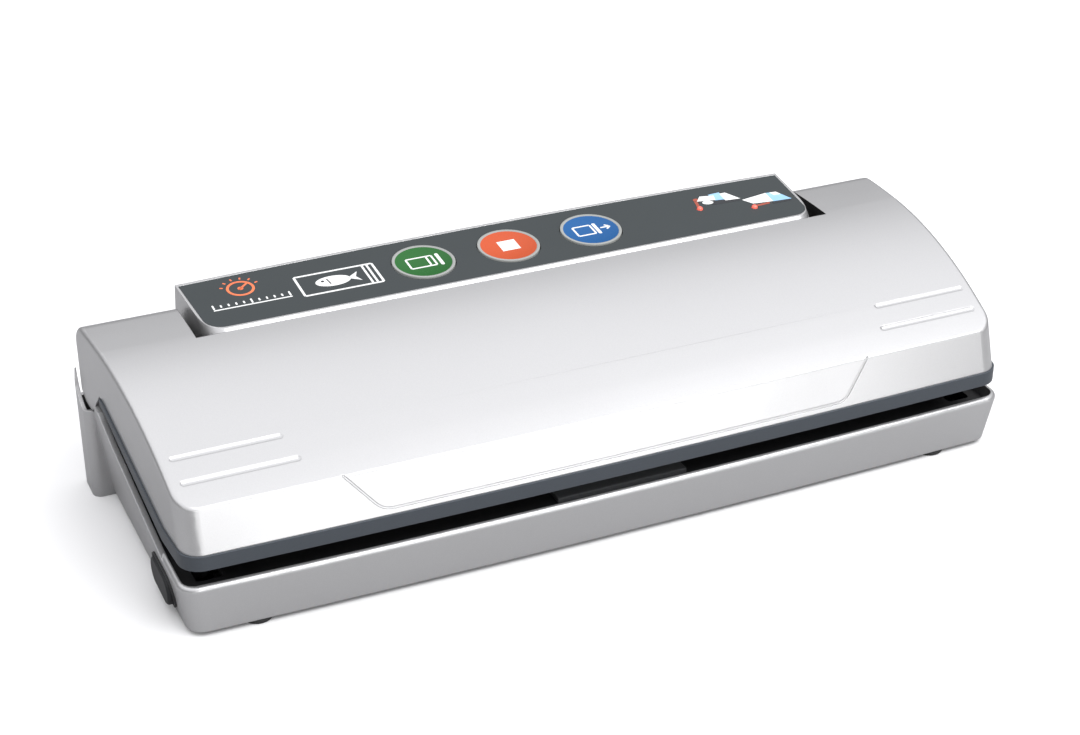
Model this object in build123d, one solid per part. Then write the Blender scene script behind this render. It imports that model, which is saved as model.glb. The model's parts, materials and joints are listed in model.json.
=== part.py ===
from build123d import *
from math import atan2, cos, degrees, hypot, radians, sin, sqrt
import os

# A bench-top vacuum packing machine, in millimetres.
# X runs along the length, +Y points to the back, +Z up.
# The origin is the centre of the footprint, on the surface that the machine stands on.

# ---------------------------------------------------------------- driving dimensions
WALL = 2.5
GAP = 0.3                      # clearance between bodies that move apart

# hinge axis of the lid, parallel to X
HINGE_Y = 54.0
HINGE_Z = 57.0
PIN_R = 4.0
PIN_CLEARANCE = 0.05

# lid: plan outline at the level of its lower front edge, and at the crease above it
LID_REAR_Y = 65.5
LID_HALF_FRONT = 186.6
LID_HALF_REAR = 194.6
LID_EDGE_Z = 39.0
LID_EDGE_Y = -69.2
LID_EDGE_BOW = 2.6
CREASE_Z = 56.6
CREASE_Y = -63.7
CREASE_BOW = 0.4
LID_CORNER_R = 9.0

# lid: side profile
TOP_Z = 81.2
TOP_FLAT_Y = 30.0
TOP_REAR_Y = 54.5
TOP_REAR_Z = 80.6
REAR_SHOULDER_Z = 69.6
TOP_R = 192.0
LOBE_R = 13.0                  # hinge lobe of the lid's end walls
GROOVE_R = 2.2                 # finger lines at the top's ends
GROOVE_DEPTH = 0.4
TOP_REAR_SAG = 0.15            # the top's rear part bulges above a straight line, tangent to the arc
SIDE_EDGE_START_Y = -44.0      # the end walls' lower edge rises from here
SIDE_EDGE_END_Y = 28.5
SIDE_EDGE_END_Z = 58.4

# notch round the control housing
NOTCH_HALF = 151.5
NOTCH_R = 36.3

# liner under the lid
LINER_PROUD = 0.8
LINER_LOW_Z = 32.5
LINER_PLATE_Z = 34.0
LINER_REAR_Y = 5.5
LINER_SCREW_X = [-168, -60, 60, 168]
LINER_SCREW_Y = -59.5

# base housing: plan outline at the bottom, and at a height above every wall
BASE_LOW_Z = 2.3
BASE_HIGH_Z = 60.0
BASE_REAR_Y = 69.5
BASE_FRONT_LOW_Y = -67.2
BASE_FRONT_HIGH_Y = -74.3
BASE_BOW_LOW = 2.6
BASE_BOW_HIGH = 4.9
BASE_HALF_FRONT_LOW = 187.0
BASE_HALF_REAR_LOW = 188.2
BASE_SIDE_SPREAD = 7.5        # how much wider each side is at BASE_HIGH_Z
BASE_CORNER_R = 8.0
RIM_Z = 25.0
RIM_RISE_Y = -40.0
LEG_OUT_X = 196.8
LEG_FRONT_Y = 51.0
LEG_SKIN = 1.7
CRADLE_R = 14.2                # rounded hollow in the leg's top, round the hinge lobe
SHELF_Z = 43.0

# deck with the vacuum trough
DECK_Z = 20.0
DECK_THICK = 2.5
RISER_Y = 8.5
TROUGH_HALF = 150.0
TROUGH_FRONT_Y = -30.0
TROUGH_REAR_Y = -8.0
TROUGH_FLOOR_Z = 7.5
GASKET_HALF = 165.0
GASKET_FRONT_Y = -39.0
GASKET_REAR_Y = 1.0
GASKET_WIDTH = 7.0
GASKET_TOP_Z = 25.0
BAR_HALF = 156.0
BAR_Y = -47.5
BAR_WIDTH = 9.0
BAR_TOP_Z = 23.5

# control housing and its panel
PANEL_FRONT_Y = 28.7
PANEL_FRONT_Z = 82.0
PANEL_REAR_Y = 70.0
PANEL_REAR_Z = 85.3
PANEL_REAR_BOW = 3.0
PANEL_HALF_FRONT = 146.1
PANEL_HALF_REAR = 148.6
PANEL_SIDE_SPREAD = 2.4        # how much wider each side is at the housing's foot
PANEL_R = 35.6                 # the front wall is round about the hinge axis
BORDER = 1.2
PANEL_CORNER_R = 9.5
OVERLAY_THICK = 0.6
BUTTON_R = 14.2
BUTTON_PITCH = 41.0

BRACKET_SCREW_X = 165.5
BRACKET_SCREW_Y = [HINGE_Y - 6, HINGE_Y + 3]

# latch, release button and hook, on the right side (+X)
LATCH_Y = -38.0
HOOK_X = 173.0
HOOK_THICK = 5.0
HOOK_WIDTH = 10.0
SLIDER_Z = 8.0
SLIDER_THICK = 3.0
HOOK_TIP_Z = 11.4
RELEASE_Z = 11.2
RELEASE_LENGTH = 27.0
RELEASE_HEIGHT = 12.2

# spigot between the trough and the hose
SUCTION_X = -98.0
SUCTION_Z = 10.2
HOSE_R = 3.6
SPIGOT_R = 2.45

# pump
PUMP_Y = 40.0
PUMP_Z = 24.0
SHAFT_R = 1.5
CRANK = 1.5
ECCENTRIC_R = 7.0

# ---------------------------------------------------------------- derived values
PANEL_TILT = degrees(atan2(PANEL_REAR_Z - PANEL_FRONT_Z, PANEL_REAR_Y - PANEL_FRONT_Y))
PANEL_MID_Y = (PANEL_FRONT_Y + PANEL_REAR_Y) / 2
PANEL_MID_Z = (PANEL_FRONT_Z + PANEL_REAR_Z) / 2
PANEL = Plane(
    origin=(0, PANEL_MID_Y, PANEL_MID_Z),
    x_dir=(1, 0, 0),
    z_dir=(0, -sin(radians(PANEL_TILT)), cos(radians(PANEL_TILT))),
)
BUTTON_X = [-BUTTON_PITCH, 0.0, BUTTON_PITCH]
LIGHTS = [(97.5, 1.5), (122.5, -6.0)]      # panel coordinates of the two lights
BOTTOM_SCREWS = [(-140, -60), (0, -60), (140, -60), (-153, 30), (153, 30), (-153, 60), (153, 60)]
FAR = 260.0                                # beyond every face, for cutting solids


# ---------------------------------------------------------------- helpers
def block(x0, x1, y0, y1, z0, z1):
    """Box between two corners."""
    size = Box(x1 - x0, y1 - y0, z1 - z0)
    return Pos((x0 + x1) / 2, (y0 + y1) / 2, (z0 + z1) / 2) * size


def rod_x(x0, x1, y, z, radius):
    """Cylinder along X."""
    return Pos((x0 + x1) / 2, y, z) * Rot(0, 90, 0) * Cylinder(radius, x1 - x0)


def rod_y(x, y0, y1, z, radius):
    """Cylinder along Y."""
    return Pos(x, (y0 + y1) / 2, z) * Rot(90, 0, 0) * Cylinder(radius, y1 - y0)


def rod_z(x, y, z0, z1, radius):
    """Cylinder along Z."""
    return Pos(x, y, (z0 + z1) / 2) * Cylinder(radius, z1 - z0)


def mirrored(solid):
    """The same piece on the -X side."""
    return mirror(solid, about=Plane.YZ)


def both_sides(solid):
    """A piece and its mirror image."""
    return solid + mirrored(solid)


def prism_x(outline, half=FAR):
    """Solid with the given Y-Z outline, along X on both sides of the middle."""
    return extrude(Plane.YZ * make_face(outline), amount=half, both=True)


def plan_face(z, front_y, bow, rear_y, half_front, half_rear, rear_bow=0.0):
    """Plan outline at one height, with a bowed front edge."""
    if bow:
        outline = ThreePointArc((-half_front, front_y), (0, front_y - bow), (half_front, front_y))
    else:
        outline = Line((-half_front, front_y), (half_front, front_y))
    outline += Line((half_front, front_y), (half_rear, rear_y))
    if rear_bow:
        outline += ThreePointArc((half_rear, rear_y), (0, rear_y + rear_bow), (-half_rear, rear_y))
    else:
        outline += Line((half_rear, rear_y), (-half_rear, rear_y))
    outline += Line((-half_rear, rear_y), (-half_front, front_y))
    return Pos(0, 0, z) * make_face(outline)


def upright_edges(solid, front=True):
    """The four long edges between a loft's two plan faces, front or rear pair."""
    edges = solid.edges().filter_by(lambda e: abs(e.tangent_at(0.5).Z) > 0.8)
    return edges.sort_by(Axis.Y)[:2] if front else edges.sort_by(Axis.Y)[-2:]


def ring(half_x, y0, y1, width, z0, z1, radius):
    """Rectangular loop with round corners, such as a gasket."""
    middle = (y0 + y1) / 2
    outer = RectangleRounded(2 * half_x, y1 - y0, radius)
    inner = RectangleRounded(2 * (half_x - width), y1 - y0 - 2 * width, radius - width)
    return Pos(0, middle, z0) * extrude(outer - inner, amount=z1 - z0)


def screw(x, y, z, head_r, head_h, shank_r, length, up=False):
    """Pan-head screw with a cross recess, its head's seat at z; its shank points away from the head."""
    head = Pos(0, 0, -head_h / 2) * Cylinder(head_r, head_h)
    head = fillet(head.edges().sort_by(Axis.Z)[0], head_h * 0.45)
    slot = Box(head_r * 1.1, head_r * 0.26, head_h * 0.9)
    head -= Pos(0, 0, -head_h) * (slot + Rot(0, 0, 90) * slot)
    body = head + Pos(0, 0, length / 2) * Cylinder(shank_r, length)
    turn = Rot(180, 0, 0) if up else Rot(0, 0, 0)
    return Pos(x, y, z) * turn * body


# ---------------------------------------------------------------- lid
def lid_plan(inset, low_z=20.0, high_z=95.0):
    """Lofted plan solid of the lid: its front face leans back and is slightly bowed."""
    faces = []
    for z in (low_z, high_z):
        rise = (z - LID_EDGE_Z) / (CREASE_Z - LID_EDGE_Z)
        front = LID_EDGE_Y + rise * (CREASE_Y - LID_EDGE_Y) + inset
        bow = LID_EDGE_BOW + rise * (CREASE_BOW - LID_EDGE_BOW)
        faces.append(plan_face(z, front, bow, LID_REAR_Y - inset,
                               LID_HALF_FRONT - inset, LID_HALF_REAR - inset))
    solid = loft(faces, ruled=True)
    return fillet(upright_edges(solid), max(LID_CORNER_R - inset, 1.0))


def lid_profile(inset):
    """Side outline of the lid, with the hinge lobe at the rear."""
    top_r = TOP_R - inset
    centre_z = TOP_Z - TOP_R
    front_y = -80.0
    front_z = centre_z + sqrt(top_r ** 2 - (front_y - TOP_FLAT_Y) ** 2)
    mid_y = (front_y + TOP_FLAT_Y) / 2
    mid_z = centre_z + sqrt(top_r ** 2 - (mid_y - TOP_FLAT_Y) ** 2)
    rear_y = LID_REAR_Y - inset
    lobe_r = LOBE_R - inset
    lobe_end_z = HINGE_Z - sqrt(max(lobe_r ** 2 - (rear_y - HINGE_Y) ** 2, 0.0))
    lobe_y = HINGE_Y - lobe_r * cos(radians(30))
    lobe_z = HINGE_Z - lobe_r * sin(radians(30))
    outline = Polyline((front_y, LID_EDGE_Z), (SIDE_EDGE_START_Y, LID_EDGE_Z),
                       (SIDE_EDGE_END_Y, SIDE_EDGE_END_Z), (35.0, SIDE_EDGE_END_Z), (lobe_y, lobe_z))
    outline += ThreePointArc((lobe_y, lobe_z), (HINGE_Y, HINGE_Z - lobe_r), (rear_y, lobe_end_z))
    outline += Line((rear_y, lobe_end_z), (rear_y, REAR_SHOULDER_Z))
    bulge = 0.7071
    corner_y = TOP_REAR_Y + (rear_y - TOP_REAR_Y) * bulge
    top_rear_z = TOP_REAR_Z - inset
    corner_z = REAR_SHOULDER_Z + (top_rear_z - REAR_SHOULDER_Z) * bulge
    outline += ThreePointArc((rear_y, REAR_SHOULDER_Z), (corner_y, corner_z), (TOP_REAR_Y, top_rear_z))
    rear_mid = ((TOP_REAR_Y + TOP_FLAT_Y) / 2, TOP_Z - inset - TOP_REAR_SAG)
    outline += ThreePointArc((TOP_REAR_Y, top_rear_z), rear_mid, (TOP_FLAT_Y, TOP_Z - inset))
    outline += ThreePointArc((TOP_FLAT_Y, TOP_Z - inset), (mid_y, mid_z), (front_y, front_z))
    outline += Line((front_y, front_z), (front_y, LID_EDGE_Z))
    return outline


def lid_outer():
    """The lid's outer form, before it is hollowed."""
    solid = lid_plan(0.0) & prism_x(lid_profile(0.0))
    return solid


def lid_inner():
    """What is taken out of the lid, open underneath."""
    top = lid_plan(WALL) & prism_x(lid_profile(WALL))
    below = lid_plan(WALL) & block(-FAR, FAR, -80, LID_REAR_Y - WALL, 20, HINGE_Z)
    return top + below


def notch_cut():
    """Room for the control housing, round about the hinge axis so that the lid can turn."""
    return rod_x(-NOTCH_HALF, NOTCH_HALF, HINGE_Y, HINGE_Z, NOTCH_R)


def notch_walls():
    """Flange along the notch's front edge and a wall at each of its sides."""
    tube = rod_x(-NOTCH_HALF - WALL, NOTCH_HALF + WALL, HINGE_Y, HINGE_Z, NOTCH_R + WALL)
    tube -= rod_x(-NOTCH_HALF, NOTCH_HALF, HINGE_Y, HINGE_Z, NOTCH_R)
    edge_y = HINGE_Y - sqrt(NOTCH_R ** 2 - (TOP_Z - HINGE_Z) ** 2)
    low_z = HINGE_Z + 14.0
    return tube & lid_outer() & block(-FAR, FAR, edge_y - 12, LID_REAR_Y, low_z, 95)


def front_groove(outer):
    """Shallow line round the long panel on the lid's front face."""
    skin = outer - Pos(0, 0.6, 0) * outer
    low_z = LID_EDGE_Z + 2.2
    wide = 124.5
    narrow = 106.0
    points = [(-wide, 62), (-narrow, low_z), (narrow, low_z), (wide, 62)]
    path = FilletPolyline(*points, radius=9)
    band = trace(path, line_width=0.9)
    cutter = extrude(Plane.XZ * band, amount=100)
    return skin & cutter & block(-FAR, FAR, -80, -60, LID_EDGE_Z, CREASE_Z + 0.3)


def top_grooves():
    """Two shallow finger lines at each end of the lid's top."""
    grooves = None
    for y, x_in, x_out in ((-42.0, 138.0, 181.5), (-53.3, 134.5, 180.5)):
        surface_z = TOP_Z - TOP_R + sqrt(TOP_R ** 2 - (y - TOP_FLAT_Y) ** 2)
        centre_z = surface_z + GROOVE_R - GROOVE_DEPTH
        line = rod_x(x_in, x_out, y, centre_z, GROOVE_R)
        line += Pos(x_in, y, centre_z) * Sphere(GROOVE_R)
        line += Pos(x_out, y, centre_z) * Sphere(GROOVE_R)
        grooves = both_sides(line) if grooves is None else grooves + both_sides(line)
    return grooves


def lid_cover():
    """Silver outer shell of the lid."""
    outer = lid_outer()
    crease = outer.edges().filter_by(
        lambda e: e.length > 300 and abs(e.center().Z - CREASE_Z) < 2.0 and e.center().Y < -50)
    outer = fillet(crease, 2.0)
    shell = outer - lid_inner() - notch_cut() + notch_walls()
    shell -= front_groove(outer)
    shell -= top_grooves()
    boss = rod_x(179.0, LID_HALF_REAR - WALL, HINGE_Y, HINGE_Z, 7.5)
    shell += both_sides(boss)
    shell -= both_sides(rod_x(178.0, 189.5, HINGE_Y, HINGE_Z, PIN_R))
    relief = block(169.8, 178.6, HINGE_Y - 16, LID_REAR_Y + 1, HINGE_Z - 16, HINGE_Z + 6)
    return shell - both_sides(relief)


def liner_plan(inset):
    """Upright plan solid at the size of the lid's lower edge."""
    face = plan_face(20, LID_EDGE_Y + inset, LID_EDGE_BOW, LID_REAR_Y - inset,
                     LID_HALF_FRONT - inset, LID_HALF_REAR - inset)
    return fillet(upright_edges(extrude(face, amount=60)), max(LID_CORNER_R - inset, 1.0))


def liner_profile():
    """Side outline of the band that the liner shows below the lid's edge."""
    return Polyline((-80, LID_EDGE_Z), (SIDE_EDGE_START_Y, LID_EDGE_Z),
                    (SIDE_EDGE_END_Y, SIDE_EDGE_END_Z), (33.0, SIDE_EDGE_END_Z), (33.0, 55.4),
                    (SIDE_EDGE_END_Y, 55.0), (-42.0, LINER_LOW_Z), (-80, LINER_LOW_Z),
                    (-80, LID_EDGE_Z))


def lid_liner():
    """Dark inner plate of the lid: a lip all round, and a flat plate that carries the seals."""
    lip = liner_plan(-LINER_PROUD) & prism_x(liner_profile())
    lip -= liner_plan(2 * WALL)
    inside = liner_plan(WALL + 0.2)
    plate = inside & block(-FAR, FAR, -80, LINER_REAR_Y, LINER_PLATE_Z, LINER_PLATE_Z + 2.5)
    wall = inside & block(-FAR, FAR, LINER_REAR_Y - 2.5, LINER_REAR_Y, LINER_PLATE_Z, 56)
    liner = lip + plate + wall
    liner -= ring(GASKET_HALF + 0.2, GASKET_FRONT_Y - 0.2, GASKET_REAR_Y + 0.2, GASKET_WIDTH + 0.4,
                  LINER_PLATE_Z - 1, LINER_PLATE_Z + 1.5, 14)
    slot = block(-BAR_HALF - 0.2, BAR_HALF + 0.2, BAR_Y - 4.2, BAR_Y + 4.2,
                 LINER_PLATE_Z - 1, LINER_PLATE_Z + 1.5)
    liner -= slot
    for x in LINER_SCREW_X:
        liner -= rod_z(x, LINER_SCREW_Y, 30, 40, 1.3)
    return liner


def upper_gasket():
    """Foam loop under the lid, above the trough."""
    return ring(GASKET_HALF, GASKET_FRONT_Y, GASKET_REAR_Y, GASKET_WIDTH, 30.6, LINER_PLATE_Z + 1.5, 13.8)


def press_strip():
    """Silicone strip that presses the bag on the hot strip."""
    strip = block(-BAR_HALF, BAR_HALF, BAR_Y - 4, BAR_Y + 4, 30.6, LINER_PLATE_Z + 1.5)
    return fillet(strip.edges().filter_by(Axis.X).sort_by(Axis.Z)[:2], 1.2)


def lid_hook():
    """Hook under the lid's right end; its barb points inwards, above the latch."""
    y0 = LATCH_Y - HOOK_WIDTH / 2
    tip_z = HOOK_TIP_Z
    stem = block(HOOK_X, HOOK_X + HOOK_THICK, y0, y0 + HOOK_WIDTH, tip_z, LINER_PLATE_Z)
    barb = Plane.XZ * make_face(Polyline(
        (HOOK_X, tip_z), (HOOK_X - 2.6, tip_z + 3.2), (HOOK_X, tip_z + 4.2), (HOOK_X, tip_z)))
    stem += Pos(0, y0 + HOOK_WIDTH, 0) * extrude(barb, amount=HOOK_WIDTH)
    foot = block(HOOK_X - 3, HOOK_X + HOOK_THICK + 3, y0 - 2, y0 + HOOK_WIDTH + 2,
                 LINER_PLATE_Z - 2.0, LINER_PLATE_Z)
    return stem + foot


def hinge_pin():
    """Steel pin held in the lid's right boss."""
    pin = rod_x(168.5, 189.5, HINGE_Y, HINGE_Z, PIN_R)
    return chamfer(pin.edges().sort_by(Axis.X)[0], 0.6)


def liner_screws():
    """Screws that hold the liner and hooks to the lid."""
    screws = None
    for x in LINER_SCREW_X:
        one = screw(x, LINER_SCREW_Y, LINER_PLATE_Z, 3.0, 1.6, 1.3, 2.4)
        screws = one if screws is None else screws + one
    return screws


# ---------------------------------------------------------------- base shells
def base_plan(inset, low_z=-5.0, high_z=BASE_HIGH_Z):
    """Lofted plan solid of the base: its walls lean outwards as they rise."""
    faces = []
    for z in (low_z, high_z):
        rise = (z - BASE_LOW_Z) / (BASE_HIGH_Z - BASE_LOW_Z)
        front = BASE_FRONT_LOW_Y + rise * (BASE_FRONT_HIGH_Y - BASE_FRONT_LOW_Y) + inset
        bow = BASE_BOW_LOW + rise * (BASE_BOW_HIGH - BASE_BOW_LOW)
        spread = rise * BASE_SIDE_SPREAD - inset
        faces.append(plan_face(z, front, bow, BASE_REAR_Y - inset,
                               BASE_HALF_FRONT_LOW + spread, BASE_HALF_REAR_LOW + spread))
    solid = loft(faces, ruled=True)
    return fillet(upright_edges(solid), max(BASE_CORNER_R - inset, 1.0))


def side_x(y, z):
    """Half-length of the base's outer wall at one point."""
    rise = (z - BASE_LOW_Z) / (BASE_HIGH_Z - BASE_LOW_Z)
    along = (y - BASE_FRONT_LOW_Y) / (BASE_REAR_Y - BASE_FRONT_LOW_Y)
    return BASE_HALF_FRONT_LOW + along * (BASE_HALF_REAR_LOW - BASE_HALF_FRONT_LOW) + rise * BASE_SIDE_SPREAD


def base_side_profile():
    """Side outline of the base's walls: the rim, the hollow for the lid's lobe and the leg's top."""
    start = (HINGE_Y - CRADLE_R * cos(radians(27)), HINGE_Z - CRADLE_R * sin(radians(27)))
    end = (HINGE_Y + CRADLE_R * cos(radians(4)), HINGE_Z - CRADLE_R * sin(radians(4)))
    outline = Polyline((-90, -5), (-90, RIM_Z), (RIM_RISE_Y, RIM_Z), (20.0, 43.2), (35.5, 50.5), start)
    outline += ThreePointArc(start, (HINGE_Y, HINGE_Z - CRADLE_R), end)
    outline += Polyline(end, (80, end[1]), (80, -5), (-90, -5))
    return outline


def leg_block():
    """Rear leg at the right end: it stands on the table and rises round the hinge lobe."""
    leg = block(172, LEG_OUT_X, LEG_FRONT_Y, BASE_REAR_Y, 0, BASE_HIGH_Z)
    outer = leg.edges().filter_by(Axis.Z).sort_by(Axis.X)[-2:]
    return fillet(outer, 4.0)


def base_housing():
    """Silver lower housing: rim, leaning end walls and the two rear legs."""
    floor_cut = block(-FAR, FAR, -90, 90, -10, BASE_LOW_Z)
    outer = (base_plan(0.0) - floor_cut) + both_sides(leg_block())
    outer = outer & prism_x(base_side_profile())
    top_rim = outer.edges().filter_by(
        lambda e: abs(e.center().Z - RIM_Z) < 0.3 and e.center().Y < -60 and e.length > 8)
    outer = fillet(top_rim, 1.9)
    cavity = base_plan(WALL)
    leg_room = block(180, LEG_OUT_X - LEG_SKIN, LEG_FRONT_Y + WALL, BASE_REAR_Y - WALL, 2.5, 90)
    shell = outer - cavity - both_sides(leg_room)
    # the walls between the legs stay below the lid's sweep
    shell -= block(-LEG_OUT_X + LEG_SKIN, LEG_OUT_X - LEG_SKIN, HINGE_Y - 1, 80, SHELF_Z, 90)
    ledge = base_plan(WALL - 0.1) - base_plan(WALL + 4.0)
    ledge &= block(-FAR, FAR, -90, 20, DECK_Z - DECK_THICK - 2.5, DECK_Z - DECK_THICK)
    shell += ledge
    shell -= both_sides(release_opening(0.9))
    shell -= power_opening()
    return shell


def release_oval(grow, x0, x1):
    """Oval bar along X, the shape of the release button, widened by grow."""
    oval = SlotOverall(RELEASE_LENGTH + 2 * grow, RELEASE_HEIGHT + 2 * grow)
    bar = extrude(Plane.YZ * oval, amount=x1 - x0)
    return Pos(x0, LATCH_Y, RELEASE_Z) * bar


def release_opening(grow):
    """Hole in the right end wall for the release button and its collar."""
    return release_oval(grow + 0.8, 170, 200)


def power_opening():
    """Hole in the rear wall for the power inlet."""
    return block(118, 142, 60, 80, 14, 30)


def chamber_deck():
    """Black deck: the trough, the gasket groove, the seal bar's seat and the shelf behind them."""
    inside = base_plan(WALL + 0.5)
    plate = inside & block(-FAR, FAR, -90, RISER_Y, DECK_Z - DECK_THICK, DECK_Z)
    riser = inside & block(-FAR, FAR, RISER_Y - 2.5, RISER_Y, DECK_Z - DECK_THICK, SHELF_Z)
    shelf = inside & block(-FAR, FAR, RISER_Y - 2.5, BASE_REAR_Y - WALL - GAP, SHELF_Z - 2.5, SHELF_Z)
    shelf -= block(-146, 146, 24, 80, 30, 60)
    trough = block(-TROUGH_HALF - 2, TROUGH_HALF + 2, TROUGH_FRONT_Y - 2, TROUGH_REAR_Y + 2,
                   TROUGH_FLOOR_Z - 2, DECK_Z - 0.1)
    groove_body = ring(GASKET_HALF + 2.2, GASKET_FRONT_Y - 2.2, GASKET_REAR_Y + 2.2, GASKET_WIDTH + 4.4,
                       14.0, DECK_Z - 0.1, 16)
    bar_body = block(-BAR_HALF - 2, BAR_HALF + 2, BAR_Y - 6.5, BAR_Y + 6.5, 13.0, DECK_Z - 0.1)
    deck = plate + riser + shelf + trough + groove_body + bar_body
    for x, y in BOTTOM_SCREWS:
        deck += rod_z(x, y, BASE_LOW_Z + 2.0, DECK_Z - 1.0 if y < 0 else SHELF_Z - 1.0, 4.0)
    cavity = block(-TROUGH_HALF, TROUGH_HALF, TROUGH_FRONT_Y, TROUGH_REAR_Y, TROUGH_FLOOR_Z, 60)
    deck -= fillet(cavity.edges().filter_by(Axis.Z), 8.0)
    deck -= ring(GASKET_HALF + 0.2, GASKET_FRONT_Y - 0.2, GASKET_REAR_Y + 0.2, GASKET_WIDTH + 0.4,
                 16.0, 60, 14)
    deck -= block(-BAR_HALF, BAR_HALF, BAR_Y - BAR_WIDTH / 2, BAR_Y + BAR_WIDTH / 2, 15.0, 60)
    slot = block(169.5, 180.5, LATCH_Y - 20, LATCH_Y + 8, 10, 60)
    deck -= both_sides(fillet(slot.edges().filter_by(Axis.Z), 1.5))
    deck -= both_sides(block(171.2, 177.8, HINGE_Y - 8.2, HINGE_Y + 8.2, 30, 60))
    deck -= rod_y(SUCTION_X, TROUGH_REAR_Y - 3, TROUGH_REAR_Y + 4, SUCTION_Z, SPIGOT_R)
    for x, y in BOTTOM_SCREWS:
        deck -= rod_z(x, y, 0, 12.0, 1.3)
    for y in BRACKET_SCREW_Y:
        deck -= both_sides(rod_z(BRACKET_SCREW_X, y, 30, 42.2, 1.3))
    return deck


def control_form(inset, foot_z):
    """Outer form of the control housing, or its inside when inset."""
    faces = []
    for z in (foot_z, 95.0):
        rise = (z - SHELF_Z) / (PANEL_REAR_Z - SHELF_Z)
        spread = (1 - rise) * PANEL_SIDE_SPREAD - inset
        faces.append(plan_face(z, 12.0, 0.0, PANEL_REAR_Y - inset, PANEL_HALF_FRONT + spread - 1.0,
                               PANEL_HALF_REAR + spread, rear_bow=PANEL_REAR_BOW))
    form = loft(faces, ruled=True)
    form &= rod_x(-FAR, FAR, HINGE_Y, HINGE_Z, PANEL_R - inset)
    lid_side = PANEL * Pos(0, 0, 30 - inset) * Box(2 * FAR, 200, 60)
    return form - lid_side


def panel_corners(form):
    """The two upright edges where the round front wall meets the side walls."""
    edges = form.edges().filter_by(lambda e: abs(e.center().X) > 130 and e.length > 25)
    return edges.filter_by(lambda e: e.center().Y < HINGE_Y - 15 and e.bounding_box().size.Z > 20)


def control_housing():
    """Silver housing behind the lid: its round front wall, its sloping top and its rear wall."""
    outer = control_form(0.0, SHELF_Z)
    outer = fillet(panel_corners(outer), PANEL_CORNER_R)
    inner = control_form(WALL, SHELF_Z - 10)
    shell = outer - inner
    recess = PANEL * Pos(0, 0, -OVERLAY_THICK) * extrude(overlay_outline(0.1), amount=10)
    shell -= recess
    for x in BUTTON_X:
        shell -= PANEL * Pos(x, 1.0, 0) * Cylinder(BUTTON_R + 0.4, 20)
    for x, y in LIGHTS:
        shell -= PANEL * Pos(x, y, 0) * Cylinder(1.7, 20)
    return shell


def overlay_outline(grow):
    """Outline of the printed overlay in the panel's plane."""
    depth = hypot(PANEL_REAR_Y - PANEL_FRONT_Y, PANEL_REAR_Z - PANEL_FRONT_Z)
    front = -depth / 2 + BORDER - grow
    rear = depth / 2 - 1.6 + grow
    half_front = PANEL_HALF_FRONT - BORDER + grow
    half_rear = PANEL_HALF_REAR - BORDER + grow
    outline = Line((-half_front, front), (half_front, front))
    outline += Line((half_front, front), (half_rear, rear))
    outline += ThreePointArc((half_rear, rear), (0, rear + PANEL_REAR_BOW), (-half_rear, rear))
    outline += Line((-half_rear, rear), (-half_front, front))
    face = make_face(outline)
    return fillet(face.vertices().sort_by(Axis.Y)[:2], PANEL_CORNER_R - BORDER)


def control_overlay():
    """Dark printed sheet on the panel, with holes for the three buttons."""
    sheet = Pos(0, 0, -OVERLAY_THICK) * extrude(overlay_outline(0.0), amount=OVERLAY_THICK)
    for x in BUTTON_X:
        sheet -= Pos(x, 1.0, 0) * Cylinder(BUTTON_R + 0.4, 4)
    for x, y in LIGHTS:
        sheet -= Pos(x, y, 0) * Cylinder(1.7, 4)
    return PANEL * sheet


def panel_button(x):
    """Round button cap with a flange under the panel and a stem over its switch."""
    cap = Pos(0, 0, -1.5) * Cylinder(BUTTON_R, 4.2)
    cap = fillet(cap.edges().sort_by(Axis.Z)[-1], 0.6)
    cap += Pos(0, 0, -4.3) * Cylinder(BUTTON_R + 1.4, 1.4)
    cap += Pos(0, 0, -5.8) * Cylinder(2.5, 1.8)
    return PANEL * Pos(x, 1.0, 0) * cap


def button_board():
    """Circuit board under the panel."""
    board = Pos(30, 0.5, -12.0) * Box(220, 26, 1.6)
    return PANEL * board


def button_switches():
    """Three tactile switches on the button board."""
    switches = None
    for x in BUTTON_X:
        one = Pos(x, 1.0, -9.95) * Box(6.2, 6.2, 2.5) + Pos(x, 1.0, -8.1) * Cylinder(1.7, 1.2)
        switches = one if switches is None else switches + one
    return PANEL * switches


def indicator_lights():
    """Two small lights that look out through the overlay."""
    lights = None
    for x, y in LIGHTS:
        one = Pos(x, y, -5.7) * Cylinder(1.5, 11.0)
        one += Pos(x, y, -0.2) * Sphere(1.5)
        lights = one if lights is None else lights + one
    return PANEL * lights


def bottom_cover():
    """Flat cover under the base, with the seats of the latches."""
    plate = base_plan(WALL + 0.1) & block(-FAR, FAR, -90, 90, BASE_LOW_Z, BASE_LOW_Z + 2.0)
    plate += both_sides(block(144.5, 148.0, LATCH_Y - 6, LATCH_Y + 6, 4.2, 12.8))
    for y in (LATCH_Y - 9, LATCH_Y + 9):
        plate += both_sides(block(161, 174, y - 1.2, y + 1.2, 4.2, SLIDER_Z - 0.1))
    for x, y in BOTTOM_SCREWS:
        plate -= rod_z(x, y, 0, 10, 1.8) + rod_z(x, y, 0, 3.3, 3.6)
    for row in range(5):
        vent = SlotOverall(26, 2.6)
        plate -= Pos(-60, 20 + 7 * row, 0) * extrude(vent, amount=8)
    return plate


def bottom_screws():
    """Screws that hold the bottom cover."""
    screws = None
    for x, y in BOTTOM_SCREWS:
        one = screw(x, y, 3.3, 3.2, 0.9, 1.3, 8.7)
        screws = one if screws is None else screws + one
    return screws


def rubber_feet():
    """Two round feet in front and a pad under each leg."""
    foot = Cylinder(6.5, 2.3)
    foot = Pos(158, -61.5, 1.15) * fillet(foot.edges().sort_by(Axis.Z)[0], 0.8)
    return both_sides(foot)


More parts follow.
